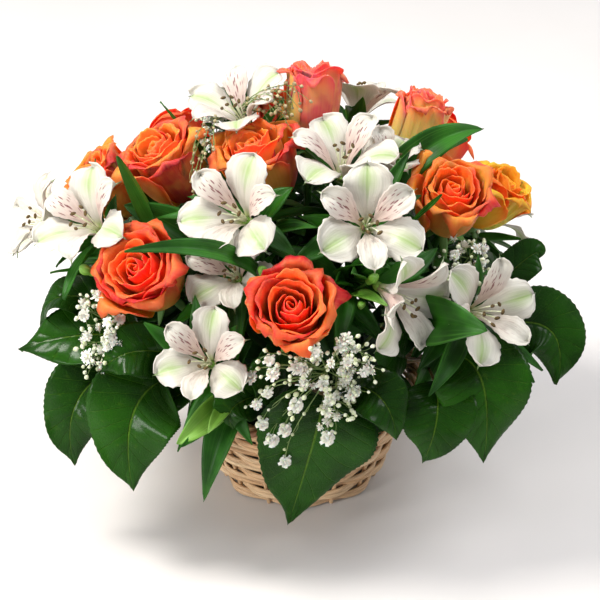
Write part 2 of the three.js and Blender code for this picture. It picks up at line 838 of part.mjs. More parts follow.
// Gypsophila sprays.

for (const spray of sprays) {
  const fork = vector(spray.fork);
  const main = foamStem(fork, fork, vector(spray.aim).normalize(), twigRadius.main);
  const whole = largestBody(joined([main.solid, ...sprayTwigs(spray, main.route)]));
  addNode(`gypsophila_${spray.name}`, whole, white, 0.8);
}

// The foam and the basket.

const foamSolid = foamHoles.reduce((block, hole) => block.subtract(hole), toSolid(foamBlock()));
addNode("foam_block", largestBody(foamSolid), 0x2f5a35, 0.95);
addNode("basket_liner", toSolid(basketLiner()), 0x2d3a2c, 0.4);
addNode("basket_base", toSolid(basketBase()), 0xc9a77a, 0.7);
addNode("basket_wall", toSolid(basketWall()), 0xdcc09a, 0.65);
addNode("basket_border", toSolid(basketBorder()), 0xb58a5e, 0.7);

export default arrangement;
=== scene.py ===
# Flower basket arrangement: the finished look of every rose, bloom, leaf, twig and willow rod.
# Sizes in the dictionaries are millimetres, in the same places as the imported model.

import math
import bpy
import numpy as np
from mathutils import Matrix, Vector


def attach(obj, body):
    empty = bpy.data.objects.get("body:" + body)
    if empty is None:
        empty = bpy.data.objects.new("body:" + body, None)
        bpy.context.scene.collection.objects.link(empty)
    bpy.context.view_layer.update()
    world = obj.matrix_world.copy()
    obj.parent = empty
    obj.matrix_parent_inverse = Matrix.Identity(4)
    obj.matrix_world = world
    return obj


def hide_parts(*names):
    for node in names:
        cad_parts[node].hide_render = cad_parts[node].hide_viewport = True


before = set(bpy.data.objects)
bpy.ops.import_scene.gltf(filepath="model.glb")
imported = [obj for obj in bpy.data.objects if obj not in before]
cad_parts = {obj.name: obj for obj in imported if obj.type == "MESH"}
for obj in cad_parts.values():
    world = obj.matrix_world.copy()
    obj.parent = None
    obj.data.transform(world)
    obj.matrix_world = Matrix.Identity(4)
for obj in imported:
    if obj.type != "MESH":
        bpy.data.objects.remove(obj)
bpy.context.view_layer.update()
print("frame loaded,", len(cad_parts), "nodes")

mm = 0.001
# every flower, leaf group and spray draws from its own seed, counted up from these
seeds = {"roseHead": 100, "roseStem": 200, "stalk": 300, "bloom": 400, "sprig": 500, "spray": 600,
         "stalkLeaves": 700, "sprigLeaves": 800, "roseLeaves": 900}
uvLength = 20   # millimetres of a stem to one unit of its texture


# Small sums with points

def vec(*values):
    return np.array(values, float)


def unit(v):
    v = np.asarray(v, float)
    return v / np.linalg.norm(v)


def ease(low, high, value):
    t = np.clip((np.asarray(value, float) - low) / (high - low), 0, 1)
    return t * t * (3 - 2 * t)


def bezier(a, b, c, d, t):
    s = 1 - t
    return s * s * s * a + 3 * s * s * t * b + 3 * s * t * t * c + t * t * t * d


def colour(text, alpha=1.0):
    channels = [int(text[i:i + 2], 16) / 255 for i in (0, 2, 4)]
    linear = [c / 12.92 if c <= 0.04045 else ((c + 0.055) / 1.055) ** 2.4 for c in channels]
    return (*linear, alpha)


def facing(origin, axis, spin):
    # local +Z along the axis and local +Y leaning up, then spun about the axis
    z = unit(axis)
    lean = vec(0, 1, 0) if abs(z[2]) > 0.995 else vec(0, 0, 1)
    y = unit(lean - z * lean.dot(z))
    x = np.cross(y, z)
    c, s = math.cos(math.radians(spin)), math.sin(math.radians(spin))
    turned = np.array([x * c + y * s, y * c - x * s, z])

    def settle(points):
        points = np.asarray(points, float)
        return (points.reshape(-1, 3) @ turned + np.asarray(origin, float)).reshape(points.shape)
    return settle


def drawsOf(kind, number):
    return np.random.default_rng(seeds[kind] + number)


def parkMiller(seed):
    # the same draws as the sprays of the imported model
    state = seed * 7919 + 17
    while True:
        state = (state * 16807) % 2147483647
        yield state / 2147483647


# Shapes are gathered as arrays and become one mesh each

def newShape():
    return {"points": [], "faces": [], "uv": [], "paint": [], "material": [], "count": 0}


def addPart(shape, points, faces, uv, paint, material=0):
    # paint holds three numbers for each point: underside, tone and mark
    count = len(points)
    shape["points"].append(np.asarray(points, float))
    shape["faces"].append(np.asarray(faces, int) + shape["count"])
    shape["material"].append(np.full(len(faces), material))
    shape["uv"].append(np.broadcast_to(uv, (count, 2)))
    shape["paint"].append(np.broadcast_to(paint, (count, 3)))
    shape["count"] += count


def gridQuads(rows, columns):
    row, column = np.meshgrid(np.arange(rows - 1), np.arange(columns - 1), indexing="ij")
    first = (row * columns + column).ravel()
    return np.stack([first, first + 1, first + columns + 1, first + columns], 1)


def addSheet(shape, grid, thickness, tone=0.0, mark=0.0, material=0, rim=0.4):
    # a thin closed body round a grid of points, rows along it and columns across it; rim is its share of thickness
    rows, columns = grid.shape[:2]
    normal = np.cross(np.gradient(grid, axis=1), np.gradient(grid, axis=0))
    normal /= np.maximum(np.linalg.norm(normal, axis=2, keepdims=True), 1e-9)
    v, u = np.meshgrid(np.linspace(0, 1, rows), np.linspace(0, 1, columns), indexing="ij")
    inside = np.minimum(np.minimum(u, 1 - u) * 6, (1 - v) * 8)
    half = 0.5 * thickness * (rim + (1 - rim) * np.clip(inside, 0, 1))[..., None]
    upper = (grid + normal * half).reshape(-1, 3)
    lower = (grid - normal * half).reshape(-1, 3)
    size = rows * columns
    quads = gridQuads(rows, columns)
    index = np.arange(size).reshape(rows, columns)
    loop = np.concatenate([index[0, :-1], index[:-1, -1], index[-1, :0:-1], index[:0:-1, 0]])
    following = np.roll(loop, -1)
    strip = np.stack([loop + size, following + size, following, loop], 1)
    faces = np.concatenate([quads, quads[:, ::-1] + size, strip])
    uv = np.stack([u.ravel(), v.ravel()], 1)
    paint = np.full((2 * size, 3), (0.0, tone, mark))
    paint[size:, 0] = 1
    addPart(shape, np.concatenate([upper, lower]), faces, np.concatenate([uv, uv]), paint, material)


def addRings(shape, points, sides, along, paint, material):
    # a closed round body: a ring of points for each step along it, then the two points that cap it
    ring = np.arange(sides)
    after = (ring + 1) % sides
    first = sides * np.arange(len(along))
    foot, top = (np.full(sides, len(along) * sides + end) for end in (0, 1))
    faces = [np.stack([a + ring, a + after, a + sides + after, a + sides + ring], 1) for a in first[:-1]]
    faces.append(np.stack([after, ring, foot, foot], 1))
    faces.append(np.stack([first[-1] + ring, first[-1] + after, top, top], 1))
    uv = np.stack([np.tile(ring / sides, len(along)), np.repeat(along, sides)], 1)
    uv = np.concatenate([uv, [[0, 0], [0, along[-1]]]])
    addPart(shape, points, np.concatenate(faces), uv, paint, material)


def addTube(shape, path, radii, sides=8, mark=0.0, material=0):
    # a closed tube along a path
    path = np.asarray(path, float)
    radii = np.broadcast_to(np.asarray(radii, float), (len(path),))
    tangent = np.gradient(path, axis=0)
    tangent /= np.linalg.norm(tangent, axis=1, keepdims=True)
    side = unit(np.cross(tangent[0], vec(0.3, 0.9, 0.2)))
    angle = 2 * np.pi * np.arange(sides) / sides
    rings = []
    for middle, way, radius in zip(path, tangent, radii):
        side = unit(side - way * side.dot(way))
        other = np.cross(way, side)
        rings.append(middle + radius * (np.outer(np.cos(angle), side) + np.outer(np.sin(angle), other)))
    points = np.concatenate([*rings, path[:1], path[-1:]])
    length = np.concatenate([[0], np.cumsum(np.linalg.norm(np.diff(path, axis=0), axis=1))])
    addRings(shape, points, sides, length / uvLength, (0.0, 0.0, mark), material)


def addLathe(shape, profile, place, sides=24, tone=0.0, mark=0.0, material=0, ribs=0, ribDepth=0.0):
    # a spun profile of (radius, height) points that starts and ends on the axis
    angle = 2 * np.pi * np.arange(sides) / sides
    swell = 1 + ribDepth * np.cos(ribs * angle)
    rings = [np.stack([r * swell * np.cos(angle), r * swell * np.sin(angle), np.full(sides, z)], 1)
             for r, z in profile[1:-1]]
    points = np.concatenate([*rings, [[0, 0, profile[0][1]], [0, 0, profile[-1][1]]]])
    addRings(shape, place(points), sides, np.linspace(0, 1, len(rings)), (0.0, tone, mark), material)


def makeMesh(name, shape, materials):
    points = np.concatenate(shape["points"]) * mm
    faces = np.concatenate(shape["faces"])
    triangle = faces[:, 2] == faces[:, 3]
    sizes = np.where(triangle, 3, 4)
    kept = np.ones(faces.shape, bool)
    kept[:, 3] = ~triangle
    corners = faces[kept]
    mesh = bpy.data.meshes.new(name)
    mesh.vertices.add(len(points))
    mesh.vertices.foreach_set("co", points.ravel())
    mesh.loops.add(len(corners))
    mesh.loops.foreach_set("vertex_index", corners)
    mesh.polygons.add(len(faces))
    mesh.polygons.foreach_set("loop_start", np.concatenate([[0], np.cumsum(sizes)[:-1]]))
    mesh.polygons.foreach_set("material_index", np.concatenate(shape["material"]))
    mesh.update(calc_edges=True)
    mesh.polygons.foreach_set("use_smooth", np.ones(len(faces), bool))
    layer = mesh.uv_layers.new(name="UVMap")
    layer.data.foreach_set("uv", np.concatenate(shape["uv"])[corners].ravel())
    paint = mesh.attributes.new("paint", "FLOAT_VECTOR", "POINT")
    paint.data.foreach_set("vector", np.concatenate(shape["paint"]).ravel())
    for material in materials:
        mesh.materials.append(material)
    mesh.validate()
    return mesh


def finishPiece(piece, slotName, *nodes):
    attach(piece, "root")
    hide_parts(*nodes)


def makePiece(name, shape, materials, slotName, *nodes):
    piece = bpy.data.objects.new(name, makeMesh(name, shape, materials))
    bpy.context.collection.objects.link(piece)
    finishPiece(piece, slotName, *nodes)


# Node trees are written as sums of their sockets

class Socket:
    def __init__(self, tree, socket):
        self.tree = tree
        self.socket = socket

    def sum(self, operation, *others):
        node = self.tree.nodes.new("ShaderNodeMath")
        node.operation = operation
        for i, value in enumerate((self, *others)):
            feed(self.tree, node.inputs[i], value)
        return Socket(self.tree, node.outputs[0])

    def between(self, low, high):
        # eases from 0 at low to 1 at high
        node = self.tree.nodes.new("ShaderNodeMapRange")
        node.interpolation_type = "SMOOTHSTEP"
        feed(self.tree, node.inputs[0], self)
        node.inputs[1].default_value = low
        node.inputs[2].default_value = high
        return Socket(self.tree, node.outputs[0])


def sumMethod(operation):
    return lambda self, *others: self.sum(operation, *others)


for method, operation in {"__add__": "ADD", "__sub__": "SUBTRACT", "__mul__": "MULTIPLY", "__truediv__": "DIVIDE",
                          "__pow__": "POWER", "__mod__": "MODULO", "sin": "SINE", "cos": "COSINE",
                          "size": "ABSOLUTE"}.items():
    setattr(Socket, method, sumMethod(operation))


def feed(tree, target, value):
    if isinstance(value, Socket):
        tree.links.new(value.socket, target)
    else:
        target.default_value = value


def addNode(tree, kind, inputs=None, **settings):
    node = tree.nodes.new(kind)
    for name, value in settings.items():
        setattr(node, name, value)
    for key, value in (inputs or {}).items():
        feed(tree, node.inputs[key], value)
    return node


def out(node, key=0):
    return Socket(node.id_data, node.outputs[key])


def joinXyz(tree, x, y, z):
    return out(addNode(tree, "ShaderNodeCombineXYZ", {0: x, 1: y, 2: z}))


# Materials

def newMaterial(name, roughness, **settings):
    material = bpy.data.materials.new(name)
    material.use_nodes = True
    shader = material.node_tree.nodes["Principled BSDF"]
    shader.inputs["Roughness"].default_value = roughness
    for key, value in settings.items():
        shader.inputs[key.replace("_", " ")].default_value = value
    return material, material.node_tree, shader


def surfaceReadings(tree):
    # across and along the surface, and its underside, tone and mark
    uv = addNode(tree, "ShaderNodeSeparateXYZ", {0: out(addNode(tree, "ShaderNodeTexCoord"), "UV")})
    attribute = addNode(tree, "ShaderNodeAttribute", attribute_name="paint")
    paint = addNode(tree, "ShaderNodeSeparateXYZ", {0: out(attribute, "Vector")})
    return out(uv, 0), out(uv, 1), out(paint, 0), out(paint, 1), out(paint, 2)


def noise(tree, vector, scale, detail=3.0, roughness=0.5):
    return out(addNode(tree, "ShaderNodeTexNoise", {
        "Vector": vector, "Scale": scale, "Detail": detail, "Roughness": roughness}))


def objectNoise(tree, scale, detail=3.0, roughness=0.5):
    return noise(tree, out(addNode(tree, "ShaderNodeTexCoord"), "Object"), scale, detail, roughness)


def mix(tree, factor, a, b):
    return out(addNode(tree, "ShaderNodeMix", {0: factor, 6: a, 7: b}, data_type="RGBA", clamp_factor=True), 2)


def wash(tree, base, *washes):
    # lays colours over a base, each as strongly as its own factor
    for factor, shade in washes:
        base = mix(tree, factor, base, colour(shade))
    return base


def ramp(tree, factor, stops):
    node = addNode(tree, "ShaderNodeValToRGB", {0: factor})
    elements = node.color_ramp.elements
    while len(elements) < len(stops):
        elements.new(0.5)
    for element, (place, shade) in zip(elements, stops):
        element.position = place
        element.color = colour(shade)
    return out(node)


def coat(tree, shader, base, height, depth, strength):
    # the colour of a surface, and its relief
    feed(tree, shader.inputs["Base Color"], base)
    node = addNode(tree, "ShaderNodeBump", {"Height": height, "Distance": depth, "Strength": strength})
    tree.links.new(node.outputs[0], shader.inputs["Normal"])


# each rose colour: the inner and the outer face of a petal from its foot to its rim, and the flush that marks it
rosePalettes = {
    "vermilion": {"inner": ("ffb03c", "fe7a34", "fc6030"), "outer": ("f49848", "f0502c", "dc2a32"),
                  "flush": "c60f22"},
    "orange": {"inner": ("ffb63c", "ff902e", "fe7630"), "outer": ("f59a48", "f8863a", "ea4c36"), "flush": "d42a34"},
    "amber": {"inner": ("ffd030", "ffb426", "fda62a"), "outer": ("fac848", "f9a42c", "f07e24"), "flush": "e2501a"},
    "apricot": {"inner": ("ffb852", "fc8e40", "f45e48"), "outer": ("fac86c", "f69a54", "e45256"), "flush": "d8384e"},
}


def roseMaterial(name, palette):
    material, tree, shader = newMaterial(f"rose {name}", 0.55, Subsurface_Weight=0.75, Subsurface_Scale=0.006,
                                         Subsurface_Radius=(1, 0.34, 0.15), Specular_IOR_Level=0.2)
    across, along, underside, tone, mark = surfaceReadings(tree)
    veins = noise(tree, joinXyz(tree, across * 34, along * 2.5, mark * 9), 1.0, 2.0)
    cloud = objectNoise(tree, 70, 2.0)
    height = along + (cloud - 0.5) * 0.35 + (veins - 0.5) * 0.14
    inner = ramp(tree, height, list(zip((0.25, 0.7, 1.0), palette["inner"])))
    outer = ramp(tree, height, list(zip((0.3, 0.72, 0.97), palette["outer"])))
    base = mix(tree, underside, inner, outer)
    edge = (across - 0.5).size().between(0.28, 0.5) * 0.5 + along.between(0.82, 1.0) * 0.6
    blotch = cloud.between(0.4, 0.62)
    flush = edge * (tone * 0.75 + 0.25) * (mark * 0.7 + 0.35)
    flush = flush + blotch * (tone * 0.7 + 0.05) * mark.between(0.35, 0.95) * 0.6
    # some of the outer petals are crimson all over, and the petals near the core carry painted crevice shade, a
    # deeper crimson towards their foot
    whole = mark.between(0.4, 0.7) * tone.between(0.2, 0.7) * (blotch * 0.35 + 0.5)
    deep = (tone - 0.75) * -0.3 * along.between(0.9, 0.3)
    crimson = palette["flush"]
    base = wash(tree, base, (flush, crimson), (whole, crimson), (deep, crimson),
                (veins.between(0.4, 0.75) * 0.1, "ffb45a"))
    coat(tree, shader, base, veins, 0.0004, 0.5)
    return material


def tepalMaterial():
    material, tree, shader = newMaterial("alstroemeria tepal", 0.42, Subsurface_Weight=0.35, Subsurface_Scale=0.003,
                                         Subsurface_Radius=(1.0, 0.95, 0.85), Sheen_Weight=0.1)
    across, along, underside, tone, mark = surfaceReadings(tree)
    veins = noise(tree, joinXyz(tree, across * 26, along * 1.6, mark * 7), 1.0, 2.0)
    side = (across - 0.5).size()
    white = mix(tree, veins.between(0.4, 0.7) * 0.35, colour("cbc7bb"), colour("aea598"))
    blush = along.between(0.75, 0.2) * 0.2 + underside * 0.12
    # a soft green patch down the middle of the broad outer tepals, and a green point
    outerOnes = (tone - 1).size()
    patch = side.between(0.34, 0.0) * along.between(0.35, 0.75) * along.between(1.04, 0.86) * outerOnes
    line = side.between(0.06, 0.015) * along.between(0.25, 0.6) * outerOnes
    tip = along.between(0.9, 1.0) * side.between(0.2, 0.05)
    white = wash(tree, white, (blush, "d2bcb2"), (patch * (veins * 0.7 + 0.4), "9cb274"), (line * 0.35, "8dab5c"),
                 (tip * 0.9, "6f9a3c"), (along.between(0.2, 0.02), "c3cf8a"))
    # maroon dashes on the upper inner tepals
    cells = addNode(tree, "ShaderNodeTexVoronoi", {
        "Vector": joinXyz(tree, across * 13, along * 6.2, mark * 3.7), "Scale": 1.0, "Randomness": 0.8})
    pick = addNode(tree, "ShaderNodeSeparateColor", {0: out(cells, "Color")})
    dash = out(cells, "Distance").between(0.42, 0.26) * out(pick).between(0.14, 0.2)
    dash = dash * along.between(0.28, 0.38) * along.between(0.86, 0.74) * side.between(0.4, 0.3) * mark
    throat = mark * along.between(0.85, 0.35) * 0.3
    white = wash(tree, white, (throat, "d98f8c"), (dash * 0.9, "6e0f26"))
    crumple = objectNoise(tree, 240, 3.0)
    coat(tree, shader, white, veins + crumple * 0.6, 0.0006, 0.6)
    return material


def plantMaterial(name, deep, light, vein, roughness, streak=18.0, **settings):
    # narrow leaves, stems and sepals: fine lines along them and a paler underside
    material, tree, shader = newMaterial(name, roughness, **settings)
    across, along, underside, tone, mark = surfaceReadings(tree)
    lines = noise(tree, joinXyz(tree, across * streak, along * 1.2, mark * 5), 1.0, 2.0)
    cloud = objectNoise(tree, 45, 3.0)
    base = mix(tree, cloud.between(0.3, 0.7), colour(deep), colour(light))
    base = wash(tree, base, (lines.between(0.5, 0.75) * 0.35, vein), (underside * 0.35, vein), (tone, vein))
    coat(tree, shader, base, lines, 0.0005, 0.5)
    return material


def salalMaterial():
    material, tree, shader = newMaterial("salal leaf", 0.42, Coat_Weight=0.18, Coat_Roughness=0.2,
                                         Specular_IOR_Level=0.04)
    across, along, underside, tone, _ = surfaceReadings(tree)
    side = (across - 0.5).size() * 2
    # side veins run forward from the midrib and curve up towards the edge
    run = along * 8.5 - side * 2.3 + side * side * 0.9
    sideVein = ((run * math.pi).sin().size()).between(0.14, 0.0) * side.between(0.98, 0.8)
    midrib = side.between(0.035, 0.01)
    net = addNode(tree, "ShaderNodeTexVoronoi", {
        "Vector": joinXyz(tree, across * 30, along * 40, 0.0), "Scale": 1.0}, feature="DISTANCE_TO_EDGE")
    fine = out(net, "Distance").between(0.09, 0.0)
    cloud = objectNoise(tree, 38, 4.0)
    spots = objectNoise(tree, 260, 2.0)
    base = mix(tree, cloud.between(0.3, 0.7), colour("092502"), colour("1a4604"))
    # painted shade: each blade is darkened towards its foot, as if in the shadow of the flowers above
    base = wash(tree, base, (tone * 0.5, "2c6410"), (along.between(0.6, 0.2) * 0.55, "051802"),
                (spots.between(0.62, 0.75) * 0.12, "587818"), (fine * 0.16, "3c6a10"), (sideVein * 0.3, "4a7c18"),
                (midrib * 0.45, "668a28"), (underside * 0.5, "4c7a34"))
    relief = sideVein * -0.8 - midrib * 1.2 - fine * 0.3 + cloud * 0.8
    coat(tree, shader, base, relief, 0.0009, 0.9)
    return material


def plainMaterial(name, dark, light, roughness, scale, depth, **settings):
    material, tree, shader = newMaterial(name, roughness, **settings)
    grain = objectNoise(tree, scale, 4.0, 0.6)
    coat(tree, shader, mix(tree, grain.between(0.3, 0.7), colour(dark), colour(light)), grain, depth, 0.6)
    return material


def willowMaterial(name, pale, warm, dark):
    # split willow: long grain, darker bark flecks and a change of tone from rod to rod
    material, tree, shader = newMaterial(name, 0.48, Coat_Weight=0.12, Coat_Roughness=0.35)
    lay = out(addNode(tree, "ShaderNodeAttribute", attribute_name="grain"), "Vector")
    tone = out(addNode(tree, "ShaderNodeAttribute", attribute_name="tone"), "Fac")
    grain = noise(tree, lay, 4.0, 4.0, 0.6)
    fleck = noise(tree, lay, 1.3, 2.0)
    base = mix(tree, tone, colour(pale), colour(warm))
    base = wash(tree, base, (grain.between(0.45, 0.72) * 0.55, dark), (fleck.between(0.6, 0.72) * 0.45, dark))
    coat(tree, shader, base, grain, 0.0006, 0.7)
    return material


roseMaterials = {name: roseMaterial(name, palette) for name, palette in rosePalettes.items()}
tepal = tepalMaterial()
salalLeaf = salalMaterial()
strapLeaf = plantMaterial("alstroemeria leaf", "123a06", "296412", "4d8a2c", 0.42, 22.0, Specular_IOR_Level=0.2)
roseLeaf = plantMaterial("rose leaf", "0d2c08", "1d4a10", "356420", 0.45, 14.0, Specular_IOR_Level=0.15)
stemGreen = plantMaterial("stem", "274f18", "427428", "64903e", 0.5, Specular_IOR_Level=0.3)
sepalGreen = plantMaterial("sepal", "3f7a2a", "6a9a44", "8fb060", 0.5)
budGreen = plantMaterial("bud", "558c24", "7cb040", "b4d078", 0.45)
barkBrown = plantMaterial("salal stalk", "4a3a1e", "6e5a2c", "7c4a2a", 0.6)
filament = plainMaterial("filament", "cfd6a6", "eef0dc", 0.5, 300, 0.0001)
anther = plainMaterial("anther", "3a2a12", "6a5426", 0.8, 900, 0.0003)
floretWhite = plainMaterial("gypsophila floret", "e6e4d6", "faf9f2", 0.75, 500, 0.0003,
                            Subsurface_Weight=0.2, Subsurface_Scale=0.002)
gypBud = plainMaterial("gypsophila bud", "b9c48e", "eceedd", 0.6, 400, 0.0002)
gypDryBud = plainMaterial("gypsophila dry bud", "6e5c38", "bcae84", 0.7, 300, 0.0002)
twigGreen = plainMaterial("gypsophila twig", "4f6a30", "7d9450", 0.6, 200, 0.0002)
foamGreen = plainMaterial("floral foam", "0f2a16", "1f4426", 0.95, 620, 0.0012)
linerBlack = plainMaterial("liner", "0d120d", "1a221a", 0.35, 60, 0.0004)
willow = willowMaterial("willow", "eccda2", "cfa274", "704628")
borderWillow = willowMaterial("border willow", "c49a6e", "965f3a", "4e2a14")
print("materials ready")


# Stems leave the foam heading outward and come up under a bloom along its axis

heart = vec(0, 0, 70)
foamReach = {"sideways": 33, "upward": 10}
jointDepth = 3.5   # leaves leave a stalk this far below its fork


def outward(target):
    return unit(np.asarray(target, float) - heart)


def rootInFoam(target):
    way = outward(target)
    return vec(way[0] * foamReach["sideways"], way[1] * foamReach["sideways"],
               heart[2] + max(0, way[2]) * foamReach["upward"])


def stemRoute(start, leave, end, arrive, count):
    reach = np.linalg.norm(np.asarray(end) - start) / 3
    t = np.linspace(0, 1, count)[:, None]
    return bezier(np.asarray(start), start + leave * reach, end - arrive * reach, np.asarray(end), t)


# Small leaves are only set where there is room: these are points that are taken, each with its radius
takenRoom = {"points": np.zeros((60000, 4)), "count": 0, "searched": 26,
             "roseStem": 2.6, "stalk": 2.2, "salalLeaf": 2.5, "leaf": 1.5}


def take(points, room):
    points = np.atleast_2d(points)
    first = takenRoom["count"]
    takenRoom["count"] += len(points)
    takenRoom["points"][first:takenRoom["count"], :3] = points
    takenRoom["points"][first:takenRoom["count"], 3] = room


def isClear(points, room):
    taken = takenRoom["points"][:takenRoom["count"]]
    reach = room + takenRoom["searched"]
    low, high = points.min(axis=0) - reach, points.max(axis=0) + reach
    near = taken[np.all((taken[:, :3] > low) & (taken[:, :3] < high), axis=1)]
    apart = np.linalg.norm(points[:, None] - near[None, :, :3], axis=2) - near[None, :, 3]
    return apart.size == 0 or apart.min() > room


# Roses: the middle of each head, the way it faces, its height, its reach, its spin, its colour and how far it is open

roseHeads = {
    "places": [
        ((7, 45, 217), (0.05, 0.45, 0.89), 45, 22, 20, "apricot", 0.78),
        ((-22, 5, 199), (-0.29, -0.11, 0.95), 45, 25, 50, "orange", 1),
        ((-74, 15, 193), (-0.45, -0.15, 0.88), 44, 24, 0, "orange", 1),
        ((-110, 34, 170), (-0.65, -0.05, 0.76), 42, 22, 75, "orange", 1),
        ((-83, -48, 161), (-0.38, -0.55, 0.74), 42, 26, 35, "vermilion", 1),
        ((-4, -85, 161), (-0.05, -0.59, 0.81), 40, 25, 10, "vermilion", 1),
        ((65, 45, 201), (0.3, 0.35, 0.89), 44, 20.5, 60, "apricot", 0.75),
        ((83, -5, 182), (0.1, -0.45, 0.89), 43, 23, 30, "orange", 1),
        ((111, 26, 166), (0.6, -0.1, 0.79), 38, 19, 5, "amber", 1),
        ((76, 84, 170), (0.5, 0.65, 0.57), 43, 23, 80, "vermilion", 1),
        ((-6, 100, 174), (0, 0.75, 0.66), 43, 24, 15, "orange", 1),
        ((-72, 78, 170), (-0.5, 0.65, 0.57), 43, 23, 70, "vermilion", 1),
    ],
    "thickness": 0.7,
    "lean": 1.4,
    "core": {"turns": 2.1, "from": 0.035, "to": 0.22, "foot": 0.2, "top": 0.93},
    # radii and heights run from a petal's foot to its rim, as shares of the head's
    "rings": [
        {"count": 3, "half": 1.25, "radii": (0.1, 0.36, 0.34, 0.29), "heights": (0.1, 0.4, 0.8, 0.96),
         "curl": 0.5, "ruffle": 0.8, "point": 0.8, "round": 0.16, "tone": 0.15, "stray": 0.5},
        {"count": 3, "half": 1.32, "radii": (0.12, 0.54, 0.42, 0.45), "heights": (0.08, 0.34, 0.85, 1.0),
         "curl": 1.6, "ruffle": 1.0, "point": 1.6, "round": 0.22, "tone": 0.3, "stray": 1.5},
        {"count": 4, "half": 1.1, "radii": (0.12, 0.74, 0.5, 0.62), "heights": (0.08, 0.27, 0.93, 0.98),
         "curl": 2.6, "ruffle": 1.6, "point": 2.4, "round": 0.26, "tone": 0.5, "stray": 2.5},
        {"count": 4, "half": 1.12, "radii": (0.12, 0.93, 0.54, 0.78), "heights": (0.07, 0.17, 1.0, 0.94),
         "curl": 3.2, "ruffle": 2.2, "point": 3.4, "round": 0.3, "tone": 0.75, "stray": 3.5},
        {"count": 5, "half": 0.88, "radii": (0.12, 1.06, 0.64, 0.96), "heights": (0.03, 0.04, 1.06, 0.86),
         "curl": 3.4, "ruffle": 2.8, "point": 4.4, "round": 0.34, "tone": 1.0, "stray": 4},
    ],
}

roseStems = {"radius": 2.3, "cup": 5.6, "neck": 2.6, "cupHeight": 8, "sepals": 5, "sepalReach": 19,
             "sepalWidth": 5.5, "sepalThickness": 0.8}


def rosePetal(head, height, radius, ring, turn, openness, chance, rows=17, columns=21):
    s = np.linspace(0, 1, rows)[:, None] ** 0.92
    u = np.linspace(1, -1, columns)[None, :]
    tall = chance.uniform(0.95, 1.04)
    reach = chance.uniform(0.92, 1.08)
    foot, belly, neck, rimRadius = ring["radii"]
    radii = foot, belly * (0.6 + 0.4 * openness), neck * (0.5 + 0.5 * openness), rimRadius * openness
    heights = (*ring["heights"][:3], ring["heights"][3] + 0.3 * (1 - openness))
    side = np.abs(u - chance.uniform(-0.15, 0.15))
    ragged = 0.016 * np.sin(u * chance.uniform(16, 24) + chance.uniform(0, 6))
    ragged = ragged + 0.01 * np.sin(u * 43 + chance.uniform(0, 6))
    v = s * (1 - ring["round"] * side ** 2.4 + ring["point"] / height * np.exp(-((side / 0.2) ** 1.5)) + ragged)
    wrap = 0.42 + 0.58 * np.sin(np.pi / 2 * np.minimum(1, v / 0.6))
    angle = turn + u * ring["half"] * wrap
    rim = v ** 3.5
    wave = np.sin(u * chance.uniform(3.5, 6) + chance.uniform(0, 6))
    ripple = np.sin(u * chance.uniform(8, 12) + chance.uniform(0, 6)) * v ** 3
    reflex = ring["curl"] * side ** 1.8 * v ** 3 * chance.uniform(0.6, 1.4)
    roll = ring["curl"] * 0.35 * ease(0.86, 1.02, v)
    r = radius * bezier(*radii, v) * (1 + (reach - 1) * v) + head["lean"] * u * wrap
    r = r + reflex + roll + ring["ruffle"] * rim * (0.8 * wave + 0.4 * ripple)
    r = np.maximum(r, 0.5)
    z = height * bezier(*heights, v) * tall - 0.9 * reflex - 0.6 * roll
    z = z + ring["ruffle"] * rim * 0.8 * np.sin(u * chance.uniform(3, 6) + chance.uniform(0, 6))
    r = r + 0.25 * np.sin(u * 17 + chance.uniform(0, 6)) * ease(0.2, 0.6, v) * (1 - side)
    # each petal leans out or in by itself, about the foot of the head
    lean = math.radians(chance.uniform(-1, 1) * ring["stray"])
    r, z = r * math.cos(lean) + z * math.sin(lean), z * math.cos(lean) - r * math.sin(lean)
    return np.stack([r * np.cos(angle), r * np.sin(angle), z], 2)


def roseCore(height, radius, core, chance):
    columns, rows = 96, 12
    s = np.linspace(0, 1, rows)[:, None]
    t = np.linspace(1, 0, columns)[None, :]
    angle = t * core["turns"] * 2 * np.pi + chance.uniform(0, 6)
    top = core["top"] + 0.025 * np.sin(angle * 1.5 + chance.uniform(0, 6)) - 0.05 * (1 - t) ** 3
    v = core["foot"] + (top - core["foot"]) * s
    spread = core["from"] + (core["to"] - core["from"]) * t
    r = radius * spread * (1 + 0.35 * np.sin(np.pi * s ** 0.8) - 0.12 * s ** 6)
    r = r + 0.5 * s ** 8 * np.sin(angle * 2.3)
    return np.stack([r * np.cos(angle), r * np.sin(angle), height * v * np.ones_like(angle)], 2)


def makeRoseHead(number, place, head):
    centre, axis, height, radius, spin, shade, openness = place
    chance = drawsOf("roseHead", number)
    way = unit(axis)
    toFrame = facing(np.asarray(centre) - way * height / 2, axis, spin)
    take(np.asarray(centre) + way * height * np.array([[-0.25], [0], [0.25]]), radius * np.array([0.8, 0.95, 1.0]))
    shape = newShape()
    grid = roseCore(height, radius, head["core"], chance)
    addSheet(shape, toFrame(grid), head["thickness"], 0.05, chance.random())
    for index, ring in enumerate(head["rings"]):
        last = index == len(head["rings"]) - 1
        first = 0 if last else chance.uniform(0, 6.28)
        for i in range(ring["count"]):
            turn = first + 2 * np.pi * i / ring["count"] + chance.uniform(-0.2, 0.2)
            grid = rosePetal(head, height, radius, ring, turn, openness, chance)
            addSheet(shape, toFrame(grid), head["thickness"], ring["tone"], chance.random())
    makePiece(f"roseHead{number:02}", shape, [roseMaterials[shade]], "rose_petals", f"rose_{number:02}_head")


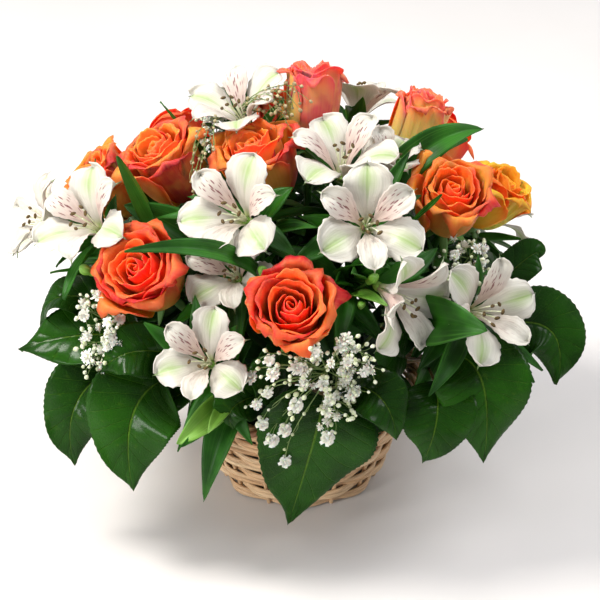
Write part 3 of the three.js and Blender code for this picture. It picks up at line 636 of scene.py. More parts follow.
def makeRoseStem(number, place, stem):
    centre, axis, height, _, spin, *_ = place
    chance = drawsOf("roseStem", number)
    way = unit(axis)
    foot = np.asarray(centre) - way * height / 2
    neck = foot + way * (1 - stem["cupHeight"])
    toFrame = facing(foot, axis, spin)
    shape = newShape()
    route = stemRoute(rootInFoam(neck), outward(neck), neck, way, 30)
    take(route, takenRoom["roseStem"])
    addTube(shape, route, stem["radius"], 12, chance.random())
    cup, neck, low = stem["cup"], stem["neck"], -stem["cupHeight"]
    profile = [(0, low), (neck * 0.9, low), (neck * 1.05, low + 0.8), (cup * 0.86, low + 2.6),
               (cup, low + 4.4), (cup * 0.98, low + 6), (cup * 0.9, -0.6), (cup * 0.9, 1.2), (0, 1.4)]
    addLathe(shape, profile, toFrame, 20, 0.1, chance.random(), 1)
    for i in range(stem["sepals"]):
        turn = math.radians(18 + 72 * i)
        s = np.linspace(0, 1, 12)[:, None]
        u = np.linspace(-1, 1, 7)[None, :]
        reach, droop = stem["sepalReach"] * chance.uniform(0.9, 1.0), chance.uniform(7, 10)
        r = bezier(cup - 0.8, cup + 4, reach * 0.8, reach, s) + 0 * u
        z = bezier(-2.5, -1.5 - droop * 0.2, -3 - droop * 0.7, -3 - droop, s) - 0.5 * np.abs(u) * (1 - s)
        z = z + 1.2 * np.sin(s * 5 + i) * s * 0.6
        half = 0.5 * stem["sepalWidth"] * (1 - s ** 1.4) ** 0.8 * (0.75 + 0.35 * np.sin(np.pi * s)) + 0.12
        around = turn + 0.12 * chance.uniform(-1, 1) * s
        x = r * np.cos(around) - u * half * np.sin(around)
        y = r * np.sin(around) + u * half * np.cos(around)
        grid = np.stack([x, y, z + 0 * u], 2)[:, ::-1]
        addSheet(shape, toFrame(grid), stem["sepalThickness"], 0.0, chance.random(), 1)
    return shape, route


# the stems wait for their small leaves: kind, number, shape, routes, piece and node
growing = []
for number, place in enumerate(roseHeads["places"], 1):
    makeRoseHead(number, place, roseHeads)
    shape, route = makeRoseStem(number, place, roseStems)
    growing.append(("rose", number, shape, [route], f"roseStem{number:02}", f"rose_{number:02}_stem"))
print("rose heads made")


# Leaves follow a curve, with their faces turned out from the middle of the arrangement

def addBlade(shape, grid, first, every, thickness, chance, material=1):
    # a leaf that takes up room from its given row outward
    take(grid[first:, ::every].reshape(-1, 3), takenRoom["leaf"])
    addSheet(shape, grid, thickness, 0.0, chance.random(), material)


def curveThrough(start, via, end, t):
    s = 1 - t
    return s * s * start + 2 * s * t * via + t * t * end


def leafGrid(start, via, end, t, half, raised, faced=None):
    # half is the half width at each station, and raised lifts each point of the grid off the flat leaf
    start, via, end = (np.asarray(p, float) for p in (start, via, end))
    middle = curveThrough(start, via, end, t[:, None])
    along = 2 * ((1 - t[:, None]) * (via - start) + t[:, None] * (end - via))
    along /= np.linalg.norm(along, axis=1, keepdims=True)
    front = outward(curveThrough(start, via, end, 0.6)) if faced is None else unit(faced)
    side = np.cross(along, front)
    side /= np.linalg.norm(side, axis=1, keepdims=True)
    lift = np.cross(side, along)
    u = np.linspace(-1, 1, raised.shape[1])
    spread = u[None, :, None] * half[:, None, None]
    return middle[:, None] + side[:, None] * spread + lift[:, None] * raised[..., None]


def strapGrid(start, via, end, width, chance, rows=30, columns=13, faced=None):
    t = np.linspace(0, 1, rows)
    u = np.linspace(-1, 1, columns)[None, :]
    half = width * (0.05 + 0.46 * np.maximum(0, np.sin(np.pi * t ** 1.15)) ** 1.1)
    half[-1] = 0.15
    side = np.abs(u)
    wave = np.sin(t[:, None] * chance.uniform(5, 8) + chance.uniform(0, 6)) * side ** 2 * width * 0.06
    ribs = 0.16 * np.cos(u * np.pi * 5)
    raised = 0.45 * side * half[:, None] + wave * np.sign(u) + ribs
    return leafGrid(start, via, end, t, half, raised, faced)


# Alstroemerias. A bloom has its throat, facing, spin, size and how far it is open; a leaf or bract has a point
# that it bends over, its tip, its width and sometimes a facing; a bud has its foot, facing and length.

alstroemerias = {
    "stalks": {
        "back_left": {
            "blooms": [((-34, 36, 218), (-0.28, -0.16, 0.95), 0, 0.93, 1)],
            "leaves": [((-42, 36, 170), (-79, 38, 224), 10)]},
        "back_middle": {
            "blooms": [((36, 86, 198), (0.25, 0.45, 0.86), 10, 0.92, 1),
                       ((-36, 84, 196), (-0.3, 0.5, 0.81), 30, 0.92, 1)],
            "leaves": [((10, 88, 140), (40, 138, 160), 12)]},
        "middle": {
            "blooms": [((23, -5, 209), (0, -0.2, 0.98), 20, 0.95, 1),
                       ((50, 9, 199), (0.12, -0.1, 0.98), 40, 0.88, 0.6)],
            "leaves": [((56, -2, 228), (103, 26, 213), 19, (0.1, -0.7, 0.7)), ((52, -30, 170), (76, -36, 206), 8)]},
        "front_right": {
            "blooms": [((36, -50, 196), (0.05, -0.75, 0.66), 0, 0.98, 1),
                       ((52, -76, 166), (0.7, -0.65, -0.05), 15, 0.95, 1)],
            "leaves": [((18, -58, 186), (47, -78, 186), 10)],
            "buds": [((36, -66, 169), (0.35, -0.6, 0.7), 13), ((34, -70, 158), (-0.2, -0.8, 0.4), 10)],
            "bracts": [((24, -62, 168), (46, -84, 166), 9, (0.2, -0.5, 0.8))]},
        "front_left": {
            "blooms": [((-33, -45, 199), (-0.35, -0.6, 0.7), 0, 0.97, 1),
                       ((-36, -48, 163), (-0.25, -0.62, 0.74), 25, 0.82, 1)],
            "leaves": [((-18, -84, 212), (-90, -90, 203), 12, (-0.1, -0.6, 0.8)),
                       ((-52, -22, 172), (-86, -14, 170), 20, (-0.2, -0.5, 0.8)),
                       ((-58, -22, 176), (-97, -15, 187), 25, (-0.1, -0.7, 0.7))],
            "buds": [((-20, -64, 172), (0, -0.6, 0.8), 12)]},
        "left": {
            "blooms": [((-116, -20, 179), (-0.45, -0.45, 0.77), 30, 0.95, 1),
                       ((-144, 9, 162), (-0.85, -0.1, 0.5), 55, 0.88, 1)],
            "leaves": [((-80, -14, 176), (-97, -34, 228), 15), ((-98, -8, 146), (-138, -34, 155), 9)],
            "buds": [((-112, -40, 158), (-0.5, -0.5, 0.6), 14)]},
        "low_left": {
            "blooms": [((-50, -88, 134), (-0.2, -0.66, 0.72), 0, 0.86, 1)],
            "leaves": [((-40, -92, 112), (-53, -105, 51), 18), ((-44, -92, 96), (-64, -112, 94), 8)],
            "bracts": [((-46, -101, 106), (-66, -108, 93), 15, (0.1, -0.6, 0.8)),
                       ((-42, -98, 108), (-49, -109, 101), 9, (-0.3, -0.8, 0.5))]},
        "low_right": {
            "blooms": [((98, -60, 147), (0.45, -0.7, 0.55), 30, 0.95, 1),
                       ((112, 64, 136), (0.7, 0.5, 0.5), 30, 0.92, 1)],
            "leaves": [((68, -82, 160), (97, -102, 162), 27, (0, -0.85, 0.5)),
                       ((104, -62, 118), (118, -72, 96), 24, (0.2, -0.7, 0.6))]},
    },
    "throatHeight": 18,
    "outerTepal": {"reach": 33, "lift": 25, "width": 26, "cup": 2.4, "wave": 2.7, "tip": 2.2, "thickness": 0.6},
    "innerTepal": {"reach": 29.5, "lift": 31, "width": 16.5, "cup": 3.2, "wave": 1.5, "tip": 3.2, "thickness": 0.6},
    "stamens": {"count": 6, "length": 23, "radius": 0.42, "anther": 3.4, "antherRadius": 1.05,
                "styleRadius": 0.45},
    "forkShare": 0.5,
    "leafThickness": 0.75,
    "stalkRadius": 1.85,
    "pedicelRadius": 1.15,
    "budStalkRadius": 0.9,
    # radius and height of a closed bud, as shares of its own
    "budProfile": [(0, 0), (0.6, 0.01), (1.1, 0.08), (1.3, 0.2), (1.15, 0.32),
                   (1.5, 0.48), (1.75, 0.64), (1.5, 0.8), (0.9, 0.92), (0, 1)],
}


def tepalGrid(kind, turn, openness, chance, rows=24, columns=19):
    v = np.linspace(0, 1, rows)[:, None] ** 0.95
    u = np.linspace(1, -1, columns)[None, :]
    side = np.abs(u)
    spread = 0.13 + 0.87 * ease(0.08, 0.66, v)
    rounded = np.where(v < 0.7, 1, np.maximum(0, 1 - np.abs((v - 0.7) / 0.3) ** 2.1) ** 0.6)
    nibble = 1 + 0.045 * np.sin(v * 47 + 3 * np.sign(u) + chance.uniform(0, 6)) * side ** 6
    nibble = nibble + 0.05 * np.sin(v * 13 + chance.uniform(0, 6))
    half = 0.5 * kind["width"] * spread * rounded * nibble * chance.uniform(0.92, 1.05) + 0.12
    reach = kind["reach"] * openness * chance.uniform(0.95, 1.02)
    recurve = chance.uniform(-2.5, 2.5)
    r = bezier(2.2, reach * 0.22, reach * 0.6, reach, v)
    r = r + kind["tip"] * np.exp(-(u / 0.2) ** 2) * ease(0.88, 1, v)
    r = r - 1.2 * np.exp(-((side - 0.35) / 0.2) ** 2) * ease(0.9, 1, v)
    rise = bezier(4.5, 19, kind["lift"] + 6, kind["lift"] + recurve, v)
    rim = side ** 2 * ease(0.3, 0.85, v)
    ruffle = np.sin(v * chance.uniform(12, 17) + np.sign(u) * chance.uniform(0, 3) + chance.uniform(0, 6))
    sway = np.sin(v * chance.uniform(4, 7) + u * 2 + chance.uniform(0, 6))
    rise = rise + kind["cup"] * u * u * v * chance.uniform(0.3, 1.4)
    rise = rise + kind["wave"] * rim * (0.6 * ruffle + 0.7 * sway)
    ribs = 0.2 * np.cos(u * np.pi * 4) - 0.9 * np.exp(-((u / 0.1) ** 2))
    rise = rise + ribs * ease(0.1, 0.4, v)
    # below, the claws wrap round the throat as one tube
    wrap = 1 - ease(0.02, 0.3, v)
    bend = u * half / np.maximum(r, 1) * wrap
    aside = u * half * (1 - wrap)
    twist = turn + chance.uniform(-0.05, 0.05) * v
    x = r * np.cos(twist + bend) - aside * np.sin(twist)
    y = r * np.sin(twist + bend) + aside * np.cos(twist)
    return np.stack([x, y, rise + 0 * u], 2)


def makeBloom(name, node, chance, throat, axis, spin, size, openness):
    way = unit(axis)
    foot = np.asarray(throat) - way * alstroemerias["throatHeight"] * size
    settle = facing(foot, axis, spin)

    def toFrame(points):
        return settle(np.asarray(points) * size)

    take(np.asarray(throat) + way * size * np.array([[-12], [0], [8], [16]]), size * np.array([3, 8, 16, 23]))
    shape = newShape()
    for i in range(3):
        for kind, shift, tone in (("outerTepal", 0, 0.0), ("innerTepal", math.pi / 3, 1.0)):
            turn = math.pi / 2 + 2 * math.pi * i / 3 + shift
            raised = math.sin(turn + math.radians(spin))
            mark = 0.0 if tone == 0 else 0.95 if raised > -0.3 else 0.25
            grid = tepalGrid(alstroemerias[kind], turn, openness, chance)
            addSheet(shape, toFrame(grid), alstroemerias[kind]["thickness"], tone, mark, 0, 0.6)
    ovary = [(0, 0), (1.2, 0), (2.3, 1.2), (2.9, 3.2), (2.7, 5.2), (2.3, 6.6), (1.4, 7.2), (0, 7.3)]
    addLathe(shape, ovary, toFrame, 24, 0.2, chance.random(), 1, 6, 0.07)
    stamens = alstroemerias["stamens"]
    for i in range(stamens["count"]):
        turn = 2 * math.pi * (i + 0.3) / stamens["count"]
        lean = chance.uniform(0.1, 0.28) + 0.12 * (1 - openness)
        length = stamens["length"] * chance.uniform(0.8, 1.05)
        t = np.linspace(0, 1, 7)
        r = 1.2 + length * lean * t ** 1.5
        path = np.stack([r * math.cos(turn), r * math.sin(turn) - 3.0 * t ** 2, 8 + length * t], 1)
        addTube(shape, toFrame(path), stamens["radius"] * size, 5, 0, 2)
        tip = path[-1]
        turned = vec(math.cos(turn + 1.2), math.sin(turn + 1.2), 0.35) * stamens["anther"] / 2
        t = np.linspace(-1, 1, 7)[:, None]
        swell = np.sqrt(np.maximum(0.05, 1 - t[:, 0] ** 2))
        addTube(shape, toFrame(tip + turned * t), stamens["antherRadius"] * size * swell, 7, 0, 3)
    path = np.stack([0.4 * np.ones(6), -1.6 * np.linspace(0, 1, 6) ** 2, np.linspace(7, 26, 6)], 1)
    addTube(shape, toFrame(path), stamens["styleRadius"] * size, 5, 0, 2)
    makePiece(name, shape, [tepal, budGreen, filament, anther], "alstroemeria_tepals", node)


def stalkShape(stalk, chance):
    # up to a fork, and from there a thinner stalk to each bloom
    feet = [np.asarray(b[0]) - unit(b[1]) * alstroemerias["throatHeight"] * b[3] for b in stalk["blooms"]]
    fork = heart + (np.mean(feet, axis=0) - heart) * alstroemerias["forkShare"]
    away = outward(fork)
    main = stemRoute(rootInFoam(fork), away, fork, away, 20)
    pedicels = [stemRoute(fork - away, away, foot + unit(bloom[1]) * 0.4, unit(bloom[1]), 24)
                for foot, bloom in zip(feet, stalk["blooms"])]
    shape = newShape()
    addTube(shape, main, np.linspace(1, 0.94, 20) * alstroemerias["stalkRadius"], 10, chance.random())
    for route in pedicels:
        addTube(shape, route, alstroemerias["pedicelRadius"], 8, chance.random())
    joint = fork - away * jointDepth
    for via, end, width, *faced in stalk["leaves"]:
        grid = strapGrid(joint, vec(*via), vec(*end), width, chance, 30, 13, *faced)
        addBlade(shape, grid, 6, 4, alstroemerias["leafThickness"], chance)
    for via, end, width, faced in stalk.get("bracts", []):
        grid = strapGrid(joint, vec(*via), vec(*end), width, chance, 26, 11, faced)
        addSheet(shape, grid, alstroemerias["leafThickness"], 0.0, chance.random(), 2)
    for foot, way, length in stalk.get("buds", []):
        foot, way = vec(*foot), unit(way)
        route = stemRoute(fork - away, away, foot + way * 0.4, way, 20)
        addTube(shape, route, alstroemerias["budStalkRadius"], 8, chance.random())
        profile = [(r * length * 0.12, z * length) for r, z in alstroemerias["budProfile"]]
        addLathe(shape, profile, facing(foot, way, 20), 18, 0.0, chance.random(), 2, 3, 0.1)
        take(foot + way * length * np.array([[0.2], [0.5], [0.8]]), length * 0.3)
    for route in (main, *pedicels):
        take(route, takenRoom["stalk"])
    return shape, [main, *pedicels]


for order, (name, stalk) in enumerate(alstroemerias["stalks"].items()):
    shape, routes = stalkShape(stalk, drawsOf("stalk", order))
    growing.append(("stalk", order, shape, routes, f"alstroemeriaStalk_{name}", f"alstroemeria_{name}_stalk"))
    for index, bloom in enumerate(stalk["blooms"], 1):
        piece, node = f"alstroemeriaBloom_{name}_{index}", f"alstroemeria_{name}_bloom_{index}"
        makeBloom(piece, node, drawsOf("bloom", 10 * order + index), *bloom)
print("alstroemeria blooms made")


# Salal: each sprig's fork, and its leaves by where the blade begins, its tip, its width and sometimes its facing

salal = {
    "sprigs": {
        "left": {"fork": (-70, -30, 100), "leaves": [
            ((-90, -40, 116), (-157, -50, 115), 42), ((-102, -54, 106), (-127, -76, 53), 40, (-0.2, -0.85, 0.45)),
            ((-106, -28, 128), (-146, -38, 119), 28), ((-100, 10, 118), (-134, 34, 104), 43),
            ((-80, 12, 112), (-108, 46, 119), 36), ((-84, 22, 138), (-91, 40, 180), 22, (-0.1, -0.85, 0.5)),
            ((-84, -6, 98), (-104, -2, 66), 38, (-0.85, -0.05, 0.5)),
            ((-80, 18, 100), (-95, 38, 72), 36, (-0.8, 0.35, 0.5))]},
        "front_left": {"fork": (-52, -52, 100), "leaves": [
            ((-76, -72, 109), (-92, -100, 54), 54, (-0.15, -0.85, 0.45)), ((-71, -67, 123), (-108, -81, 121), 32)]},
        "front": {"fork": (12, -68, 98), "leaves": [
            ((13, -86, 108), (-7, -86, 18), 66), ((30, -84, 114), (52, -106, 94), 31),
            ((-18, -82, 107), (-36, -97, 94), 24), ((-4, -78, 112), (-28, -94, 128), 30)]},
        "right": {"fork": (72, -40, 102), "leaves": [
            ((88, -64, 120), (101, -94, 69), 54, (0.15, -0.85, 0.45)),
            ((74, -74, 108), (67, -98, 72), 42, (0, -0.85, 0.5)),
            ((114, -28, 116), (146, -44, 86), 44, (0.3, -0.8, 0.5)),
            ((106, -18, 131), (135, -4, 145), 22, (0.15, -0.65, 0.75)),
            ((100, 8, 108), (140, 38, 96), 42), ((58, -62, 117), (46, -72, 139), 26)]},
        "back": {"fork": (8, 66, 100), "leaves": [
            ((-14, 87, 109), (-62, 118, 90), 50), ((6, 94, 108), (6, 124, 62), 58),
            ((33, 84, 108), (82, 112, 88), 50), ((52, 66, 109), (128, 70, 96), 38),
            ((26, 80, 118), (66, 108, 132), 41), ((-14, 77, 120), (-46, 108, 138), 41),
            ((-33, 72, 107), (-108, 82, 92), 43), ((-22, 62, 107), (-80, 48, 116), 38),
            ((32, 60, 106), (92, 46, 116), 38)]},
    },
    "stalkShare": 0.3,
    "stalkRadius": 1.85,
    "petioleRadius": 1.0,
    "thickness": 0.7,
    # half widths from the blade's foot to its tip, for a leaf that is 1 wide
    "outline": [(0, 0.05), (0.04, 0.22), (0.1, 0.36), (0.2, 0.465), (0.33, 0.5), (0.48, 0.485), (0.62, 0.425),
                (0.75, 0.325), (0.85, 0.21), (0.92, 0.11), (0.965, 0.05), (1, 0.008)],
    "fold": 0.2,
    "wave": 0.06,
    "veinDepth": 0.45,
}


def salalBlade(start, via, end, width, chance, faced=None, rows=54, columns=23):
    share = salal["stalkShare"]
    s = np.linspace(0, 1, rows)
    t = share + (1 - share) * s
    u = np.linspace(-1, 1, columns)[None, :]
    side = np.abs(u)
    half = width * np.interp(s, *zip(*salal["outline"]))
    half = np.convolve(np.pad(half, 2, mode="edge"), np.ones(5) / 5, "valid")
    half[0] = width * 0.02
    half = half * np.where(np.arange(rows) % 2 == 0, 1.012, 0.988)
    half[-1] = 0.2
    v = s[:, None]
    run = v * 8.5 - side * 2.3 + side * side * 0.9
    veins = np.exp(-(np.sin(run * np.pi) / 0.35) ** 2) * (1 - side ** 4)
    quilt = -salal["veinDepth"] * veins - 0.9 * np.exp(-(u / 0.06) ** 2) * (1 - v)
    wave = np.sin(v * chance.uniform(9, 13) + chance.uniform(0, 6) + 1.5 * u) * side ** 2.5 * width * salal["wave"]
    raised = salal["fold"] * side * half[:, None] + quilt + wave
    raised = raised - 0.12 * width * side ** 2 * v * chance.uniform(0.3, 1)
    return leafGrid(start, via, end, t, half, raised, faced)


def addSalalLeaf(shape, start, via, tip, width, chance, faced=None):
    t = np.linspace(0, salal["stalkShare"] * 1.02, 14)[:, None]
    radii = np.linspace(1, 0.75, 14) * salal["petioleRadius"]
    addTube(shape, curveThrough(start, via, tip, t), radii, 8, chance.random())
    grid = salalBlade(start, via, tip, width, chance, faced)
    take(grid[::6, ::4].reshape(-1, 3), takenRoom["salalLeaf"])
    addSheet(shape, grid, salal["thickness"], chance.random() * 0.8, chance.random(), 1)


for order, (name, sprig) in enumerate(salal["sprigs"].items()):
    chance = drawsOf("sprig", order)
    fork = vec(*sprig["fork"])
    away = outward(fork)
    main = stemRoute(rootInFoam(fork), away, fork, away, 16)
    take(main, takenRoom["stalk"])
    shape = newShape()
    addTube(shape, main, salal["stalkRadius"], 10, 0.5)
    start, share = fork - away * jointDepth, salal["stalkShare"]
    for base, tip, width, *faced in sprig["leaves"]:
        via = (vec(*base) - (1 - share) ** 2 * start - share ** 2 * vec(*tip)) / (2 * (1 - share) * share)
        addSalalLeaf(shape, start, via, vec(*tip), width, chance, *faced)
    growing.append(("sprig", order, shape, [main], f"salalSprig_{name}", f"salal_{name}"))


# Small leaves along the stalks and sprigs, which darken the middle of the arrangement

smallLeaves = {
    "rose": {"most": 18, "tries": 420, "length": (26, 44), "width": (14, 24), "tilt": (0.4, 1.5)},
    "stalk": {"most": 34, "tries": 420, "length": (34, 60), "width": (9, 17), "tilt": (0.4, 1.4)},
    "sprig": {"most": 26, "tries": 520, "length": (40, 66), "width": (20, 34), "tilt": (0.3, 1.5)},
    # the foam stands up to this height inside this radius, and leaves keep above the border outside it
    "foamTop": 97, "foamRadius": 61, "borderTop": 75,
    "within": (138, 104),
    "roseOutline": [(0, 0.04), (0.25, 0.04), (0.34, 0.3), (0.5, 0.48),
                    (0.65, 0.5), (0.8, 0.36), (0.92, 0.15), (1, 0.01)],
    "strapThickness": 0.7, "roseThickness": 0.65,
}


def isOverFoam(points):
    inside = np.hypot(points[:, 0], points[:, 1]) < smallLeaves["foamRadius"]
    high = points[:, 2] > np.where(inside, smallLeaves["foamTop"], smallLeaves["borderTop"])
    return np.all(high) and np.all(np.abs(points[:, :2]) < smallLeaves["within"])


def smallLeafCurve(route, kind, chance):
    index = chance.integers(len(route) // 4, len(route) - 1)
    start = route[index]
    along = unit(route[index + 1] - route[index])
    across = unit(np.cross(along, chance.normal(size=3)))
    tilt = chance.uniform(*kind["tilt"])
    length = chance.uniform(*kind["length"])
    way = along * math.cos(tilt) + across * math.sin(tilt)
    end = start + way * length - vec(0, 0, 1) * length * chance.uniform(0, 0.35)
    via = start + (along * 0.6 + way * 0.6) * length * 0.4
    return start, via, end, chance.uniform(*kind["width"])


def growSmallLeaves(shape, routes, kind, chance, add):
    grown = 0
    for _ in range(kind["tries"]):
        if grown == kind["most"]:
            break
        start, via, end, width = smallLeafCurve(routes[chance.integers(len(routes))], kind, chance)
        blade = curveThrough(start, via, end, np.linspace(0.4, 1, 8)[:, None])
        if isOverFoam(blade) and isOverFoam(start[None]) and isClear(blade, width * 0.2):
            add(shape, start, via, end, width, chance)
            grown += 1


def addStrapLeaf(shape, start, via, end, width, chance):
    grid = strapGrid(start, via, end, width, chance, 18, 9)
    addBlade(shape, grid, 5, 4, smallLeaves["strapThickness"], chance)


def addRoseLeaf(shape, start, via, end, width, chance):
    rows = np.linspace(0, 1, 22)
    u = np.linspace(-1, 1, 11)[None, :]
    half = width * np.interp(rows, *zip(*smallLeaves["roseOutline"]))
    half = half * np.where(np.arange(22) % 2 == 0, 1.03, 0.97)
    v = rows[:, None]
    side = np.abs(u)
    raised = 0.3 * side * half[:, None] - 0.3 * np.cos(v * 50 - side * 4) * (1 - side) * ease(0.3, 0.4, v)
    grid = leafGrid(start, via, end, rows, half, raised)
    addBlade(shape, grid, 7, 5, smallLeaves["roseThickness"], chance, 2)


# how each kind grows its leaves, its materials and its slot
growth = {
    "rose": ("roseLeaves", addRoseLeaf, [stemGreen, sepalGreen, roseLeaf], "stems"),
    "stalk": ("stalkLeaves", addStrapLeaf, [stemGreen, strapLeaf, budGreen], "stems"),
    "sprig": ("sprigLeaves", addSalalLeaf, [barkBrown, salalLeaf], "salal_leaves"),
}
for kind, number, shape, routes, piece, node in growing:
    draws, addLeaf, materials, slotName = growth[kind]
    growSmallLeaves(shape, routes, smallLeaves[kind], drawsOf(draws, number), addLeaf)
    makePiece(piece, shape, materials, slotName, node)
print("stalks and salal made")


# Geometry Nodes trees: named inputs, a fixed seed, and plain meshes at the end

def newTree(name, inputs):
    # one input for each label, of the kind that its value has
    tree = bpy.data.node_groups.new(name, "GeometryNodeTree")
    tree.interface.new_socket("Geometry", in_out="OUTPUT", socket_type="NodeSocketGeometry")
    kinds = {int: "Int", float: "Float", type(None): "Geometry",
             bpy.types.Material: "Material", bpy.types.Object: "Object"}
    for label, value in inputs.items():
        tree.interface.new_socket(label, in_out="INPUT", socket_type="NodeSocket" + kinds[type(value)])
    source = tree.nodes.new("NodeGroupInput")
    return tree, {label: Socket(tree, source.outputs[label]) for label in inputs}


def step(tree, kind, inputs=None, **settings):
    return out(addNode(tree, "GeometryNode" + kind, inputs, **settings))


def growMesh(name, tree, inputs, start=None):
    # runs a tree once and keeps its result as a plain mesh
    grower = bpy.data.objects.new(name, start or bpy.data.meshes.new(name))
    bpy.context.collection.objects.link(grower)
    modifier = grower.modifiers.new(name, "NODES")
    modifier.node_group = tree
    for item in tree.interface.items_tree:
        if item.item_type == "SOCKET" and item.in_out == "INPUT" and item.name in inputs:
            modifier[item.identifier] = inputs[item.name]
    evaluated = grower.evaluated_get(bpy.context.evaluated_depsgraph_get())
    mesh = bpy.data.meshes.new_from_object(evaluated)
    grower.modifiers.clear()
    bpy.data.objects.remove(grower)
    mesh.polygons.foreach_set("use_smooth", np.ones(len(mesh.polygons), bool))
    return mesh


def carried(tree, geometry, value, name, data="FLOAT"):
    # keeps a value of these points on whatever is made from them later
    return step(tree, "StoreNamedAttribute", {"Geometry": geometry, "Name": name, "Value": value},
                data_type=data, domain="POINT")


def reading(tree, name, data="FLOAT"):
    return step(tree, "InputNamedAttribute", {"Name": name}, data_type=data)


def onCircle(tree, turn, radius, z):
    return joinXyz(tree, turn.cos() * radius, turn.sin() * radius, z)


def numberedCopies(tree, count, curve):
    # copies of a curve, each point with its share of the way along and the number of its copy
    line = step(tree, "MeshLine", {"Count": count})
    line = carried(tree, line, step(tree, "InputIndex"), "row")
    copies = step(tree, "InstanceOnPoints", {"Points": line, "Instance": curve})
    copies = step(tree, "RealizeInstances", {0: copies})
    copies = carried(tree, copies, step(tree, "SplineParameter"), "share")
    return copies, reading(tree, "share"), reading(tree, "row")


def layRods(tree, curves, depth, height, lay, tone, finish, **sweep):
    # sweeps an oval along the curves; lay is how far along the grain each point is
    profile = step(tree, "CurvePrimitiveCircle", {"Resolution": 8})
    angle = step(tree, "SplineParameter") * (2 * math.pi)
    profile = carried(tree, profile, angle, "round")
    oval = joinXyz(tree, angle.cos() * depth, angle.sin() * height, 0.0)
    profile = step(tree, "SetPosition", {"Geometry": profile, "Position": oval})
    inputs = {key.replace("_", " "): value for key, value in sweep.items()}
    rods = step(tree, "CurveToMesh", {"Curve": curves, "Profile Curve": profile, **inputs})
    rods = carried(tree, rods, onCircle(tree, reading(tree, "round"), 1.0, lay), "grain", "FLOAT_VECTOR")
    rods = step(tree, "RealizeInstances", {0: carried(tree, rods, tone, "tone")})
    rods = step(tree, "SetMaterial", {"Geometry": rods, "Material": finish})
    tree.links.new(rods.socket, tree.nodes.new("NodeGroupOutput").inputs[0])


# The basket: what its trees are given, first counts and shares, then lengths

basket = {
    "rim": ({}, {"Rim radius": 68.0}),
    "wall": ({"Stakes": 16, "Wall curve": 0.92}, {"Foot radius": 50.0, "Wall height": 67.0, "Middle": 2.3}),
    "rods": ({"Rows": 18, "Seed": 3.0},
             {"First row": 2.1, "Row height": 3.36, "Weave": 2.1, "Rise": 1.1, "Unevenness": 0.9,
              "Rod depth": 1.05, "Rod height": 1.6}),
    "stakes": ({}, {"Radius": 1.2}),
    "border": ({"Strands": 4, "Twists": 15.0, "Seed": 5.0},
               {"Height": 66.0, "Offset": 2.4, "Strand radius": 2.15}),
    "base": ({"Rings": 10, "Spokes": 10}, {"Radius": 44.6, "Height": 5.0}),
}


def wallRadiusAt(given, z):
    foot, rim = given["Foot radius"], given["Rim radius"]
    return foot + (rim - foot) * ((z / given["Wall height"]) ** given["Wall curve"]) - given["Middle"]


def weaveRods(tree, given):
    # rods that pass in front of one stake and behind the next; each pair of rows does the opposite of the last
    ring = step(tree, "CurvePrimitiveCircle", {"Resolution": 160})
    rings, share, row = numberedCopies(tree, given["Rows"], ring)
    turn = share * (2 * math.pi) + math.pi / 2
    wave = turn * given["Stakes"] * 0.5 + (row / 2).sum("FLOOR") * math.pi
    place = onCircle(tree, turn, 6, row * 1.7 + given["Seed"])
    wander = noise(tree, place, 1.0, 2.0) - 0.5
    z = given["First row"] + row * given["Row height"] + wander * given["Unevenness"]
    z = z + (wave + 0.9).sin() * given["Rise"] * (row % 2 * 0.5 + 0.6)
    z = z.sum("MAXIMUM", given["First row"])
    radius = wallRadiusAt(given, z) + wave.cos() * given["Weave"]
    rings = step(tree, "SetPosition", {"Geometry": rings, "Position": onCircle(tree, turn, radius, z)})
    rings = step(tree, "SetCurveNormal", {"Curve": rings}, mode="Z_UP")
    thick = noise(tree, place, 0.35, 2.0) * 0.5 + 0.75
    tone = noise(tree, joinXyz(tree, row * 3.7, given["Seed"], 0.0), 1.0, 0.0).between(0.3, 0.7)
    depth, height, lay = given["Rod depth"], given["Rod height"], turn * 1.6 + row * 5.3
    layRods(tree, rings, depth, height, lay, tone, given["Willow"], Scale=thick)


def setStakes(tree, given):
    line = step(tree, "CurvePrimitiveLine", {"End": (0, 0, 1)})
    line = step(tree, "ResampleCurve", {"Curve": line, "Count": 12})
    lines, share, row = numberedCopies(tree, given["Stakes"], line)
    z = share * given["Wall height"] * 0.93 + given["Wall height"] * 0.01
    where = onCircle(tree, row / given["Stakes"] * (2 * math.pi), wallRadiusAt(given, z), z)
    lines = step(tree, "SetPosition", {"Geometry": lines, "Position": where})
    radius = given["Radius"]
    layRods(tree, lines, radius, radius, share * 3 + row * 2.1, 0.6, given["Willow"], Fill_Caps=True)


def twistBorder(tree, given):
    # strands laid round each other along the rim
    ring = step(tree, "CurvePrimitiveCircle", {"Resolution": 288})
    rings, share, row = numberedCopies(tree, given["Strands"], ring)
    turn = share * (2 * math.pi)
    place = onCircle(tree, turn, 9, row * 2.3 + given["Seed"])
    wander = noise(tree, place, 1.0, 2.0) - 0.5
    lay = turn * given["Twists"] + row / given["Strands"] * (2 * math.pi) + wander * 0.9
    radius = given["Rim radius"] + lay.cos() * given["Offset"]
    where = onCircle(tree, turn + math.pi / 2, radius, given["Height"] + lay.sin() * given["Offset"])
    rings = step(tree, "SetPosition", {"Geometry": rings, "Position": where})
    thick = noise(tree, place, 0.5, 2.0) * 0.3 + 0.83
    tone = noise(tree, onCircle(tree, turn, 4, row * 9.0), 1.0, 1.0).between(0.35, 0.65)
    radius = given["Strand radius"]
    layRods(tree, rings, radius, radius, turn * 2.6 + row * 7.1, tone, given["Willow"], Scale=thick)


